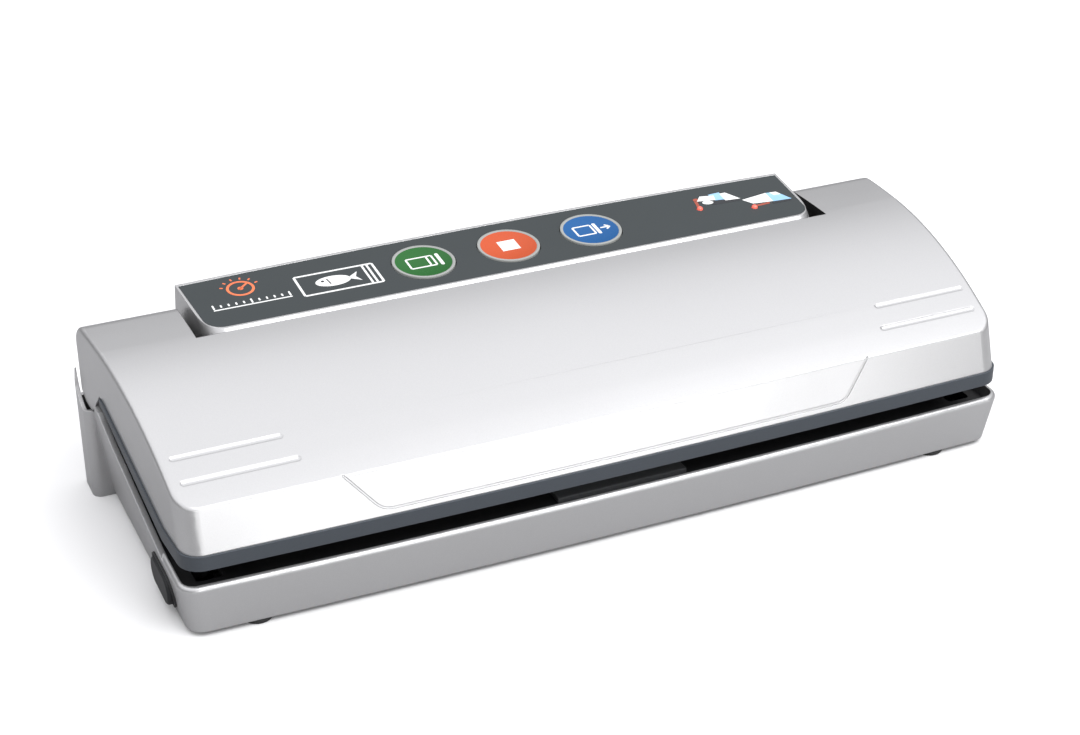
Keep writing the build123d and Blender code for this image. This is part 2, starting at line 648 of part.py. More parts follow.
# ---------------------------------------------------------------- sealing and suction
def lower_gasket():
    """Foam loop in the deck's groove, round the trough."""
    return ring(GASKET_HALF, GASKET_FRONT_Y, GASKET_REAR_Y, GASKET_WIDTH, 16.0, GASKET_TOP_Z, 13.8)


def seal_bar():
    """Heat-proof bar that carries the hot strip."""
    bar = block(-BAR_HALF, BAR_HALF, BAR_Y - BAR_WIDTH / 2, BAR_Y + BAR_WIDTH / 2, 15.0, BAR_TOP_Z)
    bar = fillet(bar.edges().filter_by(Axis.X).sort_by(Axis.Z)[-2:], 0.8)
    return bar - block(-FAR, FAR, BAR_Y - 1.6, BAR_Y + 1.6, BAR_TOP_Z - 0.3, BAR_TOP_Z + 1)


def heating_strip():
    """Resistance strip that welds the bag."""
    return block(-BAR_HALF + 2, BAR_HALF - 2, BAR_Y - 1.5, BAR_Y + 1.5, BAR_TOP_Z - 0.3, BAR_TOP_Z)


def release_tape():
    """Non-stick tape over the hot strip."""
    return block(-BAR_HALF + 1, BAR_HALF - 1, BAR_Y - 3.6, BAR_Y + 3.6, BAR_TOP_Z, BAR_TOP_Z + 0.25)


def bag_guide():
    """Grey stop at the middle of the deck's front edge."""
    guide = block(-27, 33, -63.5, -54.5, DECK_Z, DECK_Z + 2.2)
    return fillet(guide.edges().filter_by(Axis.X).sort_by(Axis.Z)[-2:], 0.8)


def suction_port():
    """Spigot through the trough's rear wall, with a strainer on its mouth."""
    tube = rod_y(SUCTION_X, TROUGH_REAR_Y - 1.5, TROUGH_REAR_Y + 10, SUCTION_Z, SPIGOT_R)
    return tube - rod_y(SUCTION_X, TROUGH_REAR_Y - 3, TROUGH_REAR_Y + 11, SUCTION_Z, 1.4)


def vacuum_hose():
    """Soft tube from the pump's head down to the trough's spigot."""
    route = FilletPolyline((-79.0, 34, 58), (SUCTION_X, 34, 58), (SUCTION_X, 34, SUCTION_Z),
                           (SUCTION_X, TROUGH_REAR_Y + 4, SUCTION_Z), radius=[8.5, 14.0])
    start = Plane(origin=route @ 0, z_dir=route % 0)
    outer = sweep(start * Circle(HOSE_R), path=route)
    inner = sweep(start * Circle(SPIGOT_R), path=route)
    return outer - inner


# ---------------------------------------------------------------- pump
def pump_motor():
    """Direct-current motor; its shaft turns in the two end bushes."""
    case = rod_x(-40, 4, PUMP_Y, PUMP_Z, 14.0)
    case = fillet(case.edges().filter_by(GeomType.CIRCLE), 1.5)
    case += rod_x(-43.5, -40, PUMP_Y, PUMP_Z, 5.0) + rod_x(4, 6.5, PUMP_Y, PUMP_Z, 5.0)
    case += block(6.4, 8.0, PUMP_Y - 1.5, PUMP_Y + 1.5, PUMP_Z - 11, PUMP_Z - 6) \
        + block(4.0, 6.4, PUMP_Y - 1.5, PUMP_Y + 1.5, PUMP_Z - 10, PUMP_Z - 7)
    return case - rod_x(-50, 4.5, PUMP_Y, PUMP_Z, SHAFT_R + PIN_CLEARANCE)


def pump_bracket():
    """Steel cradle that holds the motor and the pump to the floor."""
    base = block(-82, 6, PUMP_Y - 17, PUMP_Y + 17, 4.3, 6.0)
    saddle = block(-34, -4, PUMP_Y - 11, PUMP_Y + 11, 5.9, 16)
    saddle -= rod_x(-40, 5, PUMP_Y, PUMP_Z, 14.0)
    return base + saddle


def pump_body():
    """Crank case with a well for the rod, open towards the diaphragm."""
    body = block(-78, -43.6, PUMP_Y - 16, PUMP_Y + 16, 6.0, 48.0)
    body = fillet(body.edges().filter_by(Axis.Z), 3.0)
    body -= rod_x(-75, -47, PUMP_Y, PUMP_Z, 13.0)
    body -= block(-72, -50, PUMP_Y - 7.5, PUMP_Y + 7.5, PUMP_Z, 50)
    return body - rod_x(-48, -40, PUMP_Y, PUMP_Z, SHAFT_R + PIN_CLEARANCE)


def pump_shaft():
    """Motor shaft."""
    return rod_x(-66, 4.2, PUMP_Y, PUMP_Z, SHAFT_R)


def pump_eccentric():
    """Eccentric disc with its balance weight, fixed on the shaft."""
    disc = rod_x(-66, -58, PUMP_Y, PUMP_Z + CRANK, ECCENTRIC_R)
    weight = rod_x(-57.6, -53, PUMP_Y, PUMP_Z, 10.0)
    weight -= block(-60, -50, PUMP_Y - 20, PUMP_Y + 20, PUMP_Z + 3.2, PUMP_Z + 20)
    hub = rod_x(-58.2, -52, PUMP_Y, PUMP_Z, 3.2)
    return disc + weight + hub - rod_x(-70, -50, PUMP_Y, PUMP_Z, SHAFT_R)


def pump_rod():
    """Connecting rod: a ring round the eccentric and a stem up to the diaphragm."""
    ring_part = rod_x(-65.5, -58.5, PUMP_Y, PUMP_Z + CRANK, ECCENTRIC_R + 3.2)
    stem = block(-65.0, -59.0, PUMP_Y - 3, PUMP_Y + 3, PUMP_Z + CRANK + 5, 46.4)
    plate = Pos(-62, PUMP_Y, 46.9) * Cylinder(5.0, 1.6)
    rod = ring_part + stem + plate
    return rod - rod_x(-70, -50, PUMP_Y, PUMP_Z + CRANK, ECCENTRIC_R + PIN_CLEARANCE)


def pump_diaphragm():
    """Rubber disc between the crank case and the head."""
    return rod_z(-61, PUMP_Y, 48.0, 50.0, 15.0)


def pump_head():
    """Valve head with the suction spigot and the valve's seat."""
    head = block(-77, -45, PUMP_Y - 15.5, PUMP_Y + 15.5, 50.0, 64.0)
    head = fillet(head.edges().filter_by(Axis.Z), 3.0)
    for y in (PUMP_Y - 8, PUMP_Y, PUMP_Y + 8):
        head -= block(-74, -48, y - 1.2, y + 1.2, 61.5, 70)
    head += rod_x(-84, -76, 34, 58, SPIGOT_R)
    return head - rod_x(-90, -70, 34, 58, 1.4)


def air_valve():
    """Solenoid valve on the side of the pump head, which lets the air back in."""
    valve = rod_x(-45, -24, PUMP_Y, 57, 6.8)
    valve += block(-40, -27, PUMP_Y - 8.5, PUMP_Y + 8.5, 48.8, 65.2)
    return valve + rod_x(-24, -19, PUMP_Y, 57, 2.0)


# ---------------------------------------------------------------- electrics
def transformer_core():
    """Laminated core of the mains transformer."""
    core = block(62, 112, 24, 52, 6.0, 48.0)
    core -= block(70, 80, 20, 60, 14, 40) + block(94, 104, 20, 60, 14, 40)
    foot = block(54, 120, 27, 49, 4.3, 6.0)
    return core + foot - rod_z(57.5, 38, 0, 8, 1.8) - rod_z(116.5, 38, 0, 8, 1.8)


def transformer_coil():
    """Winding round the core's middle leg."""
    coil = block(70.2, 103.8, 16, 60, 14.2, 39.8)
    coil = fillet(coil.edges().filter_by(Axis.Z), 4.0)
    return coil - block(80, 94, 23.9, 52.1, 14, 40) - block(78, 96, 10, 70, 39.9, 50)


def control_board():
    """Main circuit board on four posts of the floor."""
    board = block(12, 50, 14, 62, 12.0, 13.6)
    for x in (15, 47):
        for y in (17, 52):
            board += rod_z(x, y, 4.3, 12.0, 2.2)
    return board


def board_parts():
    """Large components of the main board."""
    relay = block(16, 30, 20, 36, 13.6, 29)
    capacitor = rod_z(41, 26, 13.6, 34, 6.0)
    sink = block(16, 46, 48, 50, 13.6, 34)
    fins = sink
    for k in range(5):
        x = 18 + 6.4 * k
        fins += block(x, x + 1.4, 50, 58, 13.6, 34)
    return relay + capacitor + fins


def lid_switch():
    """Switch that the lid works when it is pressed down."""
    body = block(150, 165, 12, 19, SHELF_Z, SHELF_Z + 8)
    lever = block(150.5, 164, 13.5, 17.5, SHELF_Z + 8, SHELF_Z + 8.8)
    return body + lever


def power_inlet():
    """Two-pin mains inlet in the rear wall."""
    body = block(118.4, 141.6, 56, BASE_REAR_Y - 0.2, 14.4, 29.6)
    flange = block(115.5, 144.5, BASE_REAR_Y, BASE_REAR_Y + 1.5, 11.5, 32.5)
    inlet = body + flange + block(118.4, 141.6, BASE_REAR_Y - 0.3, BASE_REAR_Y + 0.1, 14.4, 29.6)
    socket = Pos(130, BASE_REAR_Y + 2, 22) * Rot(90, 0, 0) * extrude(SlotOverall(16.4, 8.4), amount=12.5)
    inlet -= socket
    for x in (127.0, 133.0):
        inlet += rod_y(x, 57.5, BASE_REAR_Y - 1.5, 22, 1.15)
    return inlet


# ---------------------------------------------------------------- hinge and latch
def hinge_bracket():
    """Steel bracket at the right end, with the bore that the lid's pin turns in."""
    upright = block(171.6, 177.4, HINGE_Y - 7.5, HINGE_Y + 7.5, 36.5, HINGE_Z)
    upright += rod_x(171.6, 177.4, HINGE_Y, HINGE_Z, 7.5)
    foot = block(160, 177.4, HINGE_Y - 10, HINGE_Y + 7.5, 36.5, SHELF_Z - 2.5)
    bracket = upright + foot - rod_x(165, 180, HINGE_Y, HINGE_Z, PIN_R + PIN_CLEARANCE)
    for y in BRACKET_SCREW_Y:
        bracket -= rod_z(BRACKET_SCREW_X, y, 30, 42, 1.4)
    return bracket


def bracket_screws():
    """Screws that hold the hinge brackets under the shelf."""
    screws = None
    for y in BRACKET_SCREW_Y:
        one = screw(BRACKET_SCREW_X, y, 36.5, 2.6, 1.6, 1.3, 5.5)
        screws = one if screws is None else screws + one
    return both_sides(screws)


def release_button():
    """Grey release button in the right end wall."""
    face_x = side_x(LATCH_Y, RELEASE_Z) + 2.6
    button = release_oval(0.0, 182.0, face_x)
    button = fillet(button.edges().sort_by(Axis.X)[-4:], 1.2)
    flange = release_oval(1.2, 178.0, 182.2) & block(170, 190, -60, -10, 4.9, HOOK_TIP_Z - 0.4)
    return button + flange


def button_collar():
    """Black collar round the release button."""
    lean = base_plan(-0.8) - base_plan(WALL + 0.2)
    collar = release_oval(1.6, 170, 200) - release_oval(0.5, 165, 205)
    return collar & lean & block(170, 210, -80, 0, BASE_LOW_Z + 2.2, 30)


def latch_slider():
    """Latch plate behind the release button, with a window that catches the hook."""
    plate = block(160, 178.0, LATCH_Y - 10.5, LATCH_Y + 10.5, SLIDER_Z, SLIDER_Z + SLIDER_THICK)
    window = block(HOOK_X - 3.4, 177.0, LATCH_Y - 6.5, LATCH_Y + 6.5, 0, 20)
    stub = rod_x(156, 160.1, LATCH_Y, SLIDER_Z + 1.5, 1.4)
    return plate - window + stub


def latch_spring():
    """Coil spring that pushes the latch outwards."""
    turns = 6
    length = 11.0
    path = Helix(pitch=length / turns, height=length, radius=2.6)
    wire = sweep(Plane(origin=path @ 0, z_dir=path % 0) * Circle(0.4), path=path)
    return Pos(148.5, LATCH_Y, SLIDER_Z + 1.5) * Rot(0, 90, 0) * wire


# ---------------------------------------------------------------- export
def make_parts():
    """Every node of the machine by name."""
    hook = lid_hook()
    pin = hinge_pin()
    bracket = hinge_bracket()
    release = release_button()
    collar = button_collar()
    slider = latch_slider()
    spring = latch_spring()
    names = {
        "base_housing": base_housing(),
        "chamber_deck": chamber_deck(),
        "control_housing": control_housing(),
        "control_overlay": control_overlay(),
        "bottom_cover": bottom_cover(),
        "bottom_screws": bottom_screws(),
        "rubber_feet": rubber_feet(),
        "lower_gasket": lower_gasket(),
        "seal_bar": seal_bar(),
        "heating_strip": heating_strip(),
        "release_tape": release_tape(),
        "bag_guide": bag_guide(),
        "suction_port": suction_port(),
        "vacuum_hose": vacuum_hose(),
        "pump_motor": pump_motor(),
        "pump_bracket": pump_bracket(),
        "pump_body": pump_body(),
        "pump_shaft": pump_shaft(),
        "pump_eccentric": pump_eccentric(),
        "pump_rod": pump_rod(),
        "pump_diaphragm": pump_diaphragm(),
        "pump_head": pump_head(),
        "air_valve": air_valve(),
        "transformer_core": transformer_core(),
        "transformer_coil": transformer_coil(),
        "control_board": control_board(),
        "board_parts": board_parts(),
        "button_board": button_board(),
        "button_switches": button_switches(),
        "indicator_lights": indicator_lights(),
        "lid_switch": lid_switch(),
        "power_inlet": power_inlet(),
        "bracket_screws": bracket_screws(),
        "hinge_bracket_right": bracket,
        "hinge_bracket_left": mirrored(bracket),
        "button_collar_right": collar,
        "button_collar_left": mirrored(collar),
        "release_button_right": release,
        "release_button_left": mirrored(release),
        "latch_slider_right": slider,
        "latch_slider_left": mirrored(slider),
        "latch_spring_right": spring,
        "latch_spring_left": mirrored(spring),
        "seal_button": panel_button(BUTTON_X[0]),
        "stop_button": panel_button(BUTTON_X[1]),
        "vacuum_button": panel_button(BUTTON_X[2]),
        "lid_cover": lid_cover(),
        "lid_liner": lid_liner(),
        "upper_gasket": upper_gasket(),
        "press_strip": press_strip(),
        "lid_hook_right": hook,
        "lid_hook_left": mirrored(hook),
        "hinge_pin_right": pin,
        "hinge_pin_left": mirrored(pin),
        "liner_screws": liner_screws(),
    }
    return names


def main():
    os.makedirs("parts", exist_ok=True)
    for name, solid in make_parts().items():
        export_step(solid, f"parts/{name}.step")
        print(name, round(solid.volume / 1000, 1), "cm3")


main()
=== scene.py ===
# %% [markdown]
# # A bench-top vacuum packing machine
# The machine draws the air out of a plastic bag and welds the bag shut. A long silver lid is hinged
# at the back, over a black deck with a trough and a hot strip. Behind the lid stands a low housing
# with three round push buttons, and at each end a grey button lets the lid go after a cycle.
# The solid model comes in as a fixed frame, and its parts stay where they are. What is added
# here is what makes it look real: paint, moulded grain, foam, print, rounded edges and light.

# %% The frame
import json
import math

import bpy
from mathutils import Matrix, Vector

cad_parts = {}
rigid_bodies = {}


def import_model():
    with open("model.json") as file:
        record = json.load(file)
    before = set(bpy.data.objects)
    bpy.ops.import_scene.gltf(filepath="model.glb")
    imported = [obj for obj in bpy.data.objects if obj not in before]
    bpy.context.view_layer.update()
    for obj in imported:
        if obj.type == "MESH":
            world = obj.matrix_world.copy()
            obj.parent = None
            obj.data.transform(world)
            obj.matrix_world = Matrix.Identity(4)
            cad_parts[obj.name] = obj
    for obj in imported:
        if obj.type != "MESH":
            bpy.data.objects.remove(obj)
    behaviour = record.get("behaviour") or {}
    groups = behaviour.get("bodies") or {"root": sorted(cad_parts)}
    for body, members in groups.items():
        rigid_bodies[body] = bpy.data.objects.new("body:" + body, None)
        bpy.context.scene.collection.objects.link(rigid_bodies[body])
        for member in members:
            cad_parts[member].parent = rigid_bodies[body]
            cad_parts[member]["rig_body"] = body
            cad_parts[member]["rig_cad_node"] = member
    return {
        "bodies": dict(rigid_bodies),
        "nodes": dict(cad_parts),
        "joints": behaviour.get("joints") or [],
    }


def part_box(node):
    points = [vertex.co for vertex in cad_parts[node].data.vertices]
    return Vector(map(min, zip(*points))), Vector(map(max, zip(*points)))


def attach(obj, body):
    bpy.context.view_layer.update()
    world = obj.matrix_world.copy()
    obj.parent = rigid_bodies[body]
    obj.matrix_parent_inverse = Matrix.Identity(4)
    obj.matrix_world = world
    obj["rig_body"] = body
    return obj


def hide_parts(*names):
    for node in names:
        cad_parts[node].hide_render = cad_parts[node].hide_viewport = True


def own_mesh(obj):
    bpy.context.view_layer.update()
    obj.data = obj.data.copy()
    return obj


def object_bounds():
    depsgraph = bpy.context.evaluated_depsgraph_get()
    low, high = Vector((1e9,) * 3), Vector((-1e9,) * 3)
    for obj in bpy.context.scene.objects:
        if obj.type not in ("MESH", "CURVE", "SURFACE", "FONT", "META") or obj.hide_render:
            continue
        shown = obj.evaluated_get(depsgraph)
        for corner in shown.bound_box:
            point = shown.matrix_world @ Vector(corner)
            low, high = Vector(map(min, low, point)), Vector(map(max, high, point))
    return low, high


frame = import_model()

nodes = frame["nodes"]
bodies = sorted(frame["bodies"])
cad_low, cad_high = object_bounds()
MM = 0.001
print(len(nodes), "parts on", len(bodies), "bodies:", ", ".join(bodies))
print("the solid model is", [round(side / MM, 1) for side in cad_high - cad_low], "mm")

# %% [markdown]
# ## Viewpoint and studio
# A kitchen machine is shown on a white sweep, under a large soft light from above and a wide
# white card in front. A satin painted shell mirrors the shape of its lights more than their
# strength, so both are made larger than the machine. The card whitens the upright front of
# the lid, and the sky is a grey that gets brighter higher up and a little darker again straight
# overhead, which keeps the curved top of the lid greyer than its front.

# %% The camera
CAMERA_PLACE = Vector((-0.3311, -0.7257, 0.4848))
CAMERA_TARGET = Vector((-0.0060, 0.0023, 0.0468))
LENS_MM = 69.03
SENSOR_MM = 36.0
NEAREST = 10 * MM

bpy.ops.object.camera_add(location=CAMERA_PLACE)
camera = bpy.context.active_object
camera.name = "camera"
camera.rotation_euler = (CAMERA_TARGET - CAMERA_PLACE).to_track_quat("-Z", "Y").to_euler()
camera.data.lens = LENS_MM
camera.data.sensor_width = SENSOR_MM
camera.data.clip_start = NEAREST
bpy.context.scene.camera = camera
print("camera stands", round((CAMERA_TARGET - CAMERA_PLACE).length, 3), "m away")


# %% Soft lights
def soft_light(name, place, target, size, power):
    """Add a rectangular softbox that faces its target."""
    bpy.ops.object.light_add(type="AREA", location=place)
    light = bpy.context.active_object
    light.name = name
    light.rotation_euler = (Vector(target) - Vector(place)).to_track_quat("-Z", "Y").to_euler()
    light.data.shape = "RECTANGLE"
    light.data.size, light.data.size_y = size
    light.data.energy = power
    return light


soft_light("light_key", place=(0.45, -0.75, 1.20), target=(0.0, 0.0, 0.03),
           size=(1.1, 0.7), power=10.4)
soft_light("light_card", place=(0.35, -1.9, 0.42), target=(0.0, 0.0, 0.05),
           size=(1.8, 0.55), power=12.5)
print("two softboxes are lit")

# %% The sky
# Each tone belongs to a height, from 0 at the horizon to 1 straight overhead. The light path
# node shows a plain pale backdrop behind the machine in place of those tones.
SKY_TONES = ((0.0, 0.10), (0.28, 0.24), (0.52, 0.84), (0.72, 1.50), (0.88, 1.57), (1.0, 1.45))
SKY_COOLNESS = 1.02
BACKDROP = (0.93, 0.935, 0.94, 1)


def connect(tree, *pairs):
    """Link pairs of sockets in a node tree, each from an output to an input."""
    for start, end in pairs:
        tree.links.new(start, end)


world = bpy.data.worlds.new("studio")
bpy.context.scene.world = world
world.use_nodes = True
sky = world.node_tree
sky_place = sky.nodes.new("ShaderNodeTexCoord")
sky_height = sky.nodes.new("ShaderNodeSeparateXYZ")
sky_ramp = sky.nodes.new("ShaderNodeValToRGB")
sky_elements = sky_ramp.color_ramp.elements
sky_elements[0].position, sky_elements[1].position = SKY_TONES[0][0], SKY_TONES[-1][0]
for height, _ in SKY_TONES[1:-1]:
    sky_elements.new(height)
for element, (_, tone) in zip(sky_elements, SKY_TONES):
    element.color = (tone, tone, SKY_COOLNESS * tone, 1)
sky_ray = sky.nodes.new("ShaderNodeLightPath")
sky_seen = sky.nodes.new("ShaderNodeMix")
sky_seen.data_type = "RGBA"
sky_seen.inputs["B"].default_value = BACKDROP
connect(
    sky,
    (sky_place.outputs["Generated"], sky_height.inputs[0]),
    (sky_height.outputs["Z"], sky_ramp.inputs["Fac"]),
    (sky_ray.outputs["Is Camera Ray"], sky_seen.inputs["Factor"]),
    (sky_ramp.outputs["Color"], sky_seen.inputs["A"]),
    (sky_seen.outputs["Result"], sky.nodes["Background"].inputs["Color"]))
bpy.context.scene.view_settings.view_transform = "Standard"
print("sky has", len(sky_elements), "tones")

# %% The floor
FLOOR_SIDE = 8.0
PAPER_THROWS_BACK = (0.44, 0.44, 0.445, 1)
PAPER_SEEN = (0.93, 0.93, 0.93, 1)
bpy.ops.mesh.primitive_plane_add(size=FLOOR_SIDE, location=(0, 0, cad_low.z))
floor = bpy.context.active_object
floor.name = "floor"
bpy.ops.object.transform_apply(location=True, rotation=True, scale=True)
floor_paper = bpy.data.materials.new("studio_paper")
floor_paper.use_nodes = True
floor_tree = floor_paper.node_tree
floor_shader = floor_tree.nodes["Principled BSDF"]
floor_shader.inputs["Roughness"].default_value = 0.9
# the paper looks white, but throws back only some of its light, as if black cards stood round it
floor_ray = floor_tree.nodes.new("ShaderNodeLightPath")
floor_tone = floor_tree.nodes.new("ShaderNodeMix")
floor_tone.data_type = "RGBA"
floor_tone.inputs["A"].default_value = PAPER_THROWS_BACK
floor_tone.inputs["B"].default_value = PAPER_SEEN
connect(
    floor_tree,
    (floor_ray.outputs["Is Camera Ray"], floor_tone.inputs["Factor"]),
    (floor_tone.outputs["Result"], floor_shader.inputs["Base Color"]))
floor.data.materials.append(floor_paper)
print("floor at z =", round(cad_low.z, 5))

# %% [markdown]
# ## Effects that several finishes share
# Every moulded part has a fine grain from its mould, edges that are never truly sharp and are
# painted a little lighter, partly as wear and partly as a painted highlight, and faint unevenness
# from handling. Each of these is made once as a node group with named inputs, and every finish
# then uses it with its own values. The groups give out only masks, heights and normals, so that
# the shader itself stays in each finish.


# %% A node group with named sockets
def new_group(name, inputs, outputs):
    """Make a shader node group and return its tree, its input node and its output node."""
    group = bpy.data.node_groups.new(name, "ShaderNodeTree")
    for label, kind, value in inputs:
        socket = group.interface.new_socket(label, in_out="INPUT", socket_type=kind)
        socket.default_value = value
    for label, kind in outputs:
        group.interface.new_socket(label, in_out="OUTPUT", socket_type=kind)
    return group, group.nodes.new("NodeGroupInput"), group.nodes.new("NodeGroupOutput")


def add_node(tree, kind, **values):
    """Add a node; values that name a property set it, others set the input of that name."""
    node = tree.nodes.new(kind)
    for label, value in values.items():
        if hasattr(node, label):
            setattr(node, label, value)
        else:
            node.inputs[label].default_value = value
    return node


FLOAT = "NodeSocketFloat"
VECTOR = "NodeSocketVector"

# %% Moulded grain
grain_group, grain_in, grain_out = new_group(
    "moulded_grain",
    [("Scale", FLOAT, 900.0), ("Coarseness", FLOAT, 0.5)],
    [("Height", FLOAT), ("Shade", FLOAT)])
place = add_node(grain_group, "ShaderNodeTexCoord")
fine = add_node(grain_group, "ShaderNodeTexNoise", Detail=3.0)
cells = add_node(grain_group, "ShaderNodeTexVoronoi", feature="SMOOTH_F1")
blend = add_node(grain_group, "ShaderNodeMix", data_type="FLOAT")
for texture in (fine, cells):
    connect(
        grain_group,
        (place.outputs["Object"], texture.inputs["Vector"]),
        (grain_in.outputs["Scale"], texture.inputs["Scale"]))
connect(
    grain_group,
    (grain_in.outputs["Coarseness"], blend.inputs["Factor"]),
    (fine.outputs["Fac"], blend.inputs["A"]),
    (cells.outputs["Distance"], blend.inputs["B"]),
    (blend.outputs["Result"], grain_out.inputs["Height"]),
    (fine.outputs["Fac"], grain_out.inputs["Shade"]))
print("grain group has", len(grain_group.nodes), "nodes")

# %% Soft edges with a painted edge highlight
# A bevelled normal rounds an edge for the eye, and where it leaves the face's own
# normal there is an edge. There the colour is painted lighter, partly as wear and partly as a
# painted highlight, on hollow edges as well as outer ones. How well the two normals match says how
# much lighter.
HIGHLIGHT_AND_WEAR_STARTS = 0.97
HIGHLIGHT_AND_WEAR_IS_FULL = 0.75
edge_group, edge_in, edge_out = new_group(
    "soft_edges_and_painted_highlight", [("Radius", FLOAT, 0.0004)], [("Normal", VECTOR), ("Highlight and wear", FLOAT)])
rounded = add_node(edge_group, "ShaderNodeBevel", samples=6)
surface = add_node(edge_group, "ShaderNodeNewGeometry")
match = add_node(edge_group, "ShaderNodeVectorMath", operation="DOT_PRODUCT")
highlight_and_wear_map = add_node(edge_group, "ShaderNodeMapRange")
highlight_and_wear_map.inputs["From Min"].default_value = HIGHLIGHT_AND_WEAR_STARTS
highlight_and_wear_map.inputs["From Max"].default_value = HIGHLIGHT_AND_WEAR_IS_FULL
connect(
    edge_group,
    (edge_in.outputs["Radius"], rounded.inputs["Radius"]),
    (rounded.outputs["Normal"], match.inputs[0]),
    (surface.outputs["Normal"], match.inputs[1]),
    (match.outputs["Value"], highlight_and_wear_map.inputs["Value"]),
    (rounded.outputs["Normal"], edge_out.inputs["Normal"]),
    (highlight_and_wear_map.outputs["Result"], edge_out.inputs["Highlight and wear"]))
print("edge group has", len(edge_group.nodes), "nodes")

# %% Handling marks
# The noise is stretched from its usual span to the whole span between two roughnesses.
NOISE_SPAN = (0.3, 0.7)
smudge_group, smudge_in, smudge_out = new_group(
    "handling_marks", [("Scale", FLOAT, 18.0), ("Low", FLOAT, 0.3), ("High", FLOAT, 0.4)],
    [("Value", FLOAT)])
place = add_node(smudge_group, "ShaderNodeTexCoord")
patches = add_node(smudge_group, "ShaderNodeTexNoise",
                   Detail=5.0, Roughness=0.6, Distortion=0.4)
spread = add_node(smudge_group, "ShaderNodeMapRange")
spread.inputs["From Min"].default_value, spread.inputs["From Max"].default_value = NOISE_SPAN
connect(
    smudge_group,
    (place.outputs["Object"], patches.inputs["Vector"]),
    (smudge_in.outputs["Scale"], patches.inputs["Scale"]),
    (patches.outputs["Fac"], spread.inputs["Value"]),
    (smudge_in.outputs["Low"], spread.inputs["To Min"]),
    (smudge_in.outputs["High"], spread.inputs["To Max"]),
    (spread.outputs["Result"], smudge_out.inputs["Value"]))
print("handling group has", len(smudge_group.nodes), "nodes")

# %% [markdown]
# ## Finishes
# One function makes a finish from two close tones, a range of roughness, a grain and an edge
# radius. It is used for paint and plastics alike, because they differ by those values
# and not in kind. Finishes with a pattern of their own, such as woven tape, wound wire or
# open foam, put that pattern in the place of the grain.


# %% A finish made from two tones
def finish(name, tones, roughness, grain=(900.0, 0.00002), edge=0.0004, highlight_and_wear_tone=None, coarse=0.3,
           metallic=0.0, coat=0.0, smudge=18.0, gloss=0.5):
    """Make a material with fine grain, soft edges and handling marks.

    tones and highlight_and_wear_tone are colours; the second is the lighter tone painted on edges,
    partly as wear and partly as a painted highlight. roughness is a lowest and highest value, grain
    is a scale and a depth in metres, and edge is a radius in metres. It returns the material and
    its nodes.
    """
    material = bpy.data.materials.new(name)
    material.use_nodes = True
    tree = material.node_tree
    shader = tree.nodes["Principled BSDF"]
    shader.inputs["Metallic"].default_value = metallic
    shader.inputs["Coat Weight"].default_value = coat
    shader.inputs["Specular IOR Level"].default_value = gloss
    grain_scale, grain_depth = grain
    smoothest, roughest = roughness
    grain_node = add_node(tree, "ShaderNodeGroup", node_tree=grain_group,
                          Scale=grain_scale, Coarseness=coarse)
    edge_node = add_node(tree, "ShaderNodeGroup", node_tree=edge_group, Radius=edge)
    mark_node = add_node(tree, "ShaderNodeGroup", node_tree=smudge_group,
                         Scale=smudge, Low=smoothest, High=roughest)
    tint = add_node(tree, "ShaderNodeMix", data_type="RGBA")
    tint.inputs["A"].default_value = (*tones[0], 1)
    tint.inputs["B"].default_value = (*tones[1], 1)
    # edges are painted lighter here, partly as wear and partly as a painted highlight
    highlight_and_wear = add_node(tree, "ShaderNodeMix", data_type="RGBA")
    highlight_and_wear.inputs["B"].default_value = (*(highlight_and_wear_tone or tones[1]), 1)
    bump = add_node(tree, "ShaderNodeBump", Strength=1.0, Distance=grain_depth)
    connect(
        tree,
        (grain_node.outputs["Shade"], tint.inputs["Factor"]),
        (tint.outputs["Result"], highlight_and_wear.inputs["A"]),
        (edge_node.outputs["Highlight and wear"], highlight_and_wear.inputs["Factor"]),
        (highlight_and_wear.outputs["Result"], shader.inputs["Base Color"]),
        (mark_node.outputs["Value"], shader.inputs["Roughness"]),
        (grain_node.outputs["Height"], bump.inputs["Height"]),
        (edge_node.outputs["Normal"], bump.inputs["Normal"]),
        (bump.outputs["Normal"], shader.inputs["Normal"]))
    return material, {"tree": tree, "shader": shader, "tint": tint, "highlight_and_wear": highlight_and_wear, "bump": bump}


# %% Painted and moulded finishes
SILVER_TONES = ((0.48, 0.48, 0.485), (0.56, 0.56, 0.565))
SILVER_GLOSS = (0.33, 0.38)
SILVER_GRAIN = (2600.0, 0.000004)
# the lighter tone on the paint's edges is part wear and part painted highlight
SILVER_HIGHLIGHT_AND_WEAR = (0.64, 0.64, 0.645)
SILVER_METAL = 0.75
SILVER_EDGE = 0.0005
silver, _ = finish("satin_silver_paint", SILVER_TONES, SILVER_GLOSS, grain=SILVER_GRAIN,
                   edge=SILVER_EDGE, highlight_and_wear_tone=SILVER_HIGHLIGHT_AND_WEAR, metallic=SILVER_METAL)
trim, _ = finish("blue_grey_trim", ((0.040, 0.048, 0.059), (0.048, 0.057, 0.069)), (0.38, 0.48),
                 grain=(1500.0, 0.00001), highlight_and_wear_tone=(0.10, 0.12, 0.15))
black, _ = finish("grained_black", ((0.016, 0.016, 0.017), (0.024, 0.024, 0.026)), (0.45, 0.6),
                  grain=(1100.0, 0.00003), highlight_and_wear_tone=(0.05, 0.05, 0.052), coarse=0.5)
grey, _ = finish("grey_moulding", ((0.10, 0.105, 0.11), (0.13, 0.135, 0.14)), (0.4, 0.52),
                 grain=(1200.0, 0.00002), highlight_and_wear_tone=(0.22, 0.22, 0.23))
dark_grey, _ = finish("release_grey", ((0.010, 0.011, 0.012), (0.015, 0.016, 0.018)), (0.40, 0.50),
                      grain=(1200.0, 0.00001), highlight_and_wear_tone=(0.10, 0.10, 0.105), gloss=0.35)
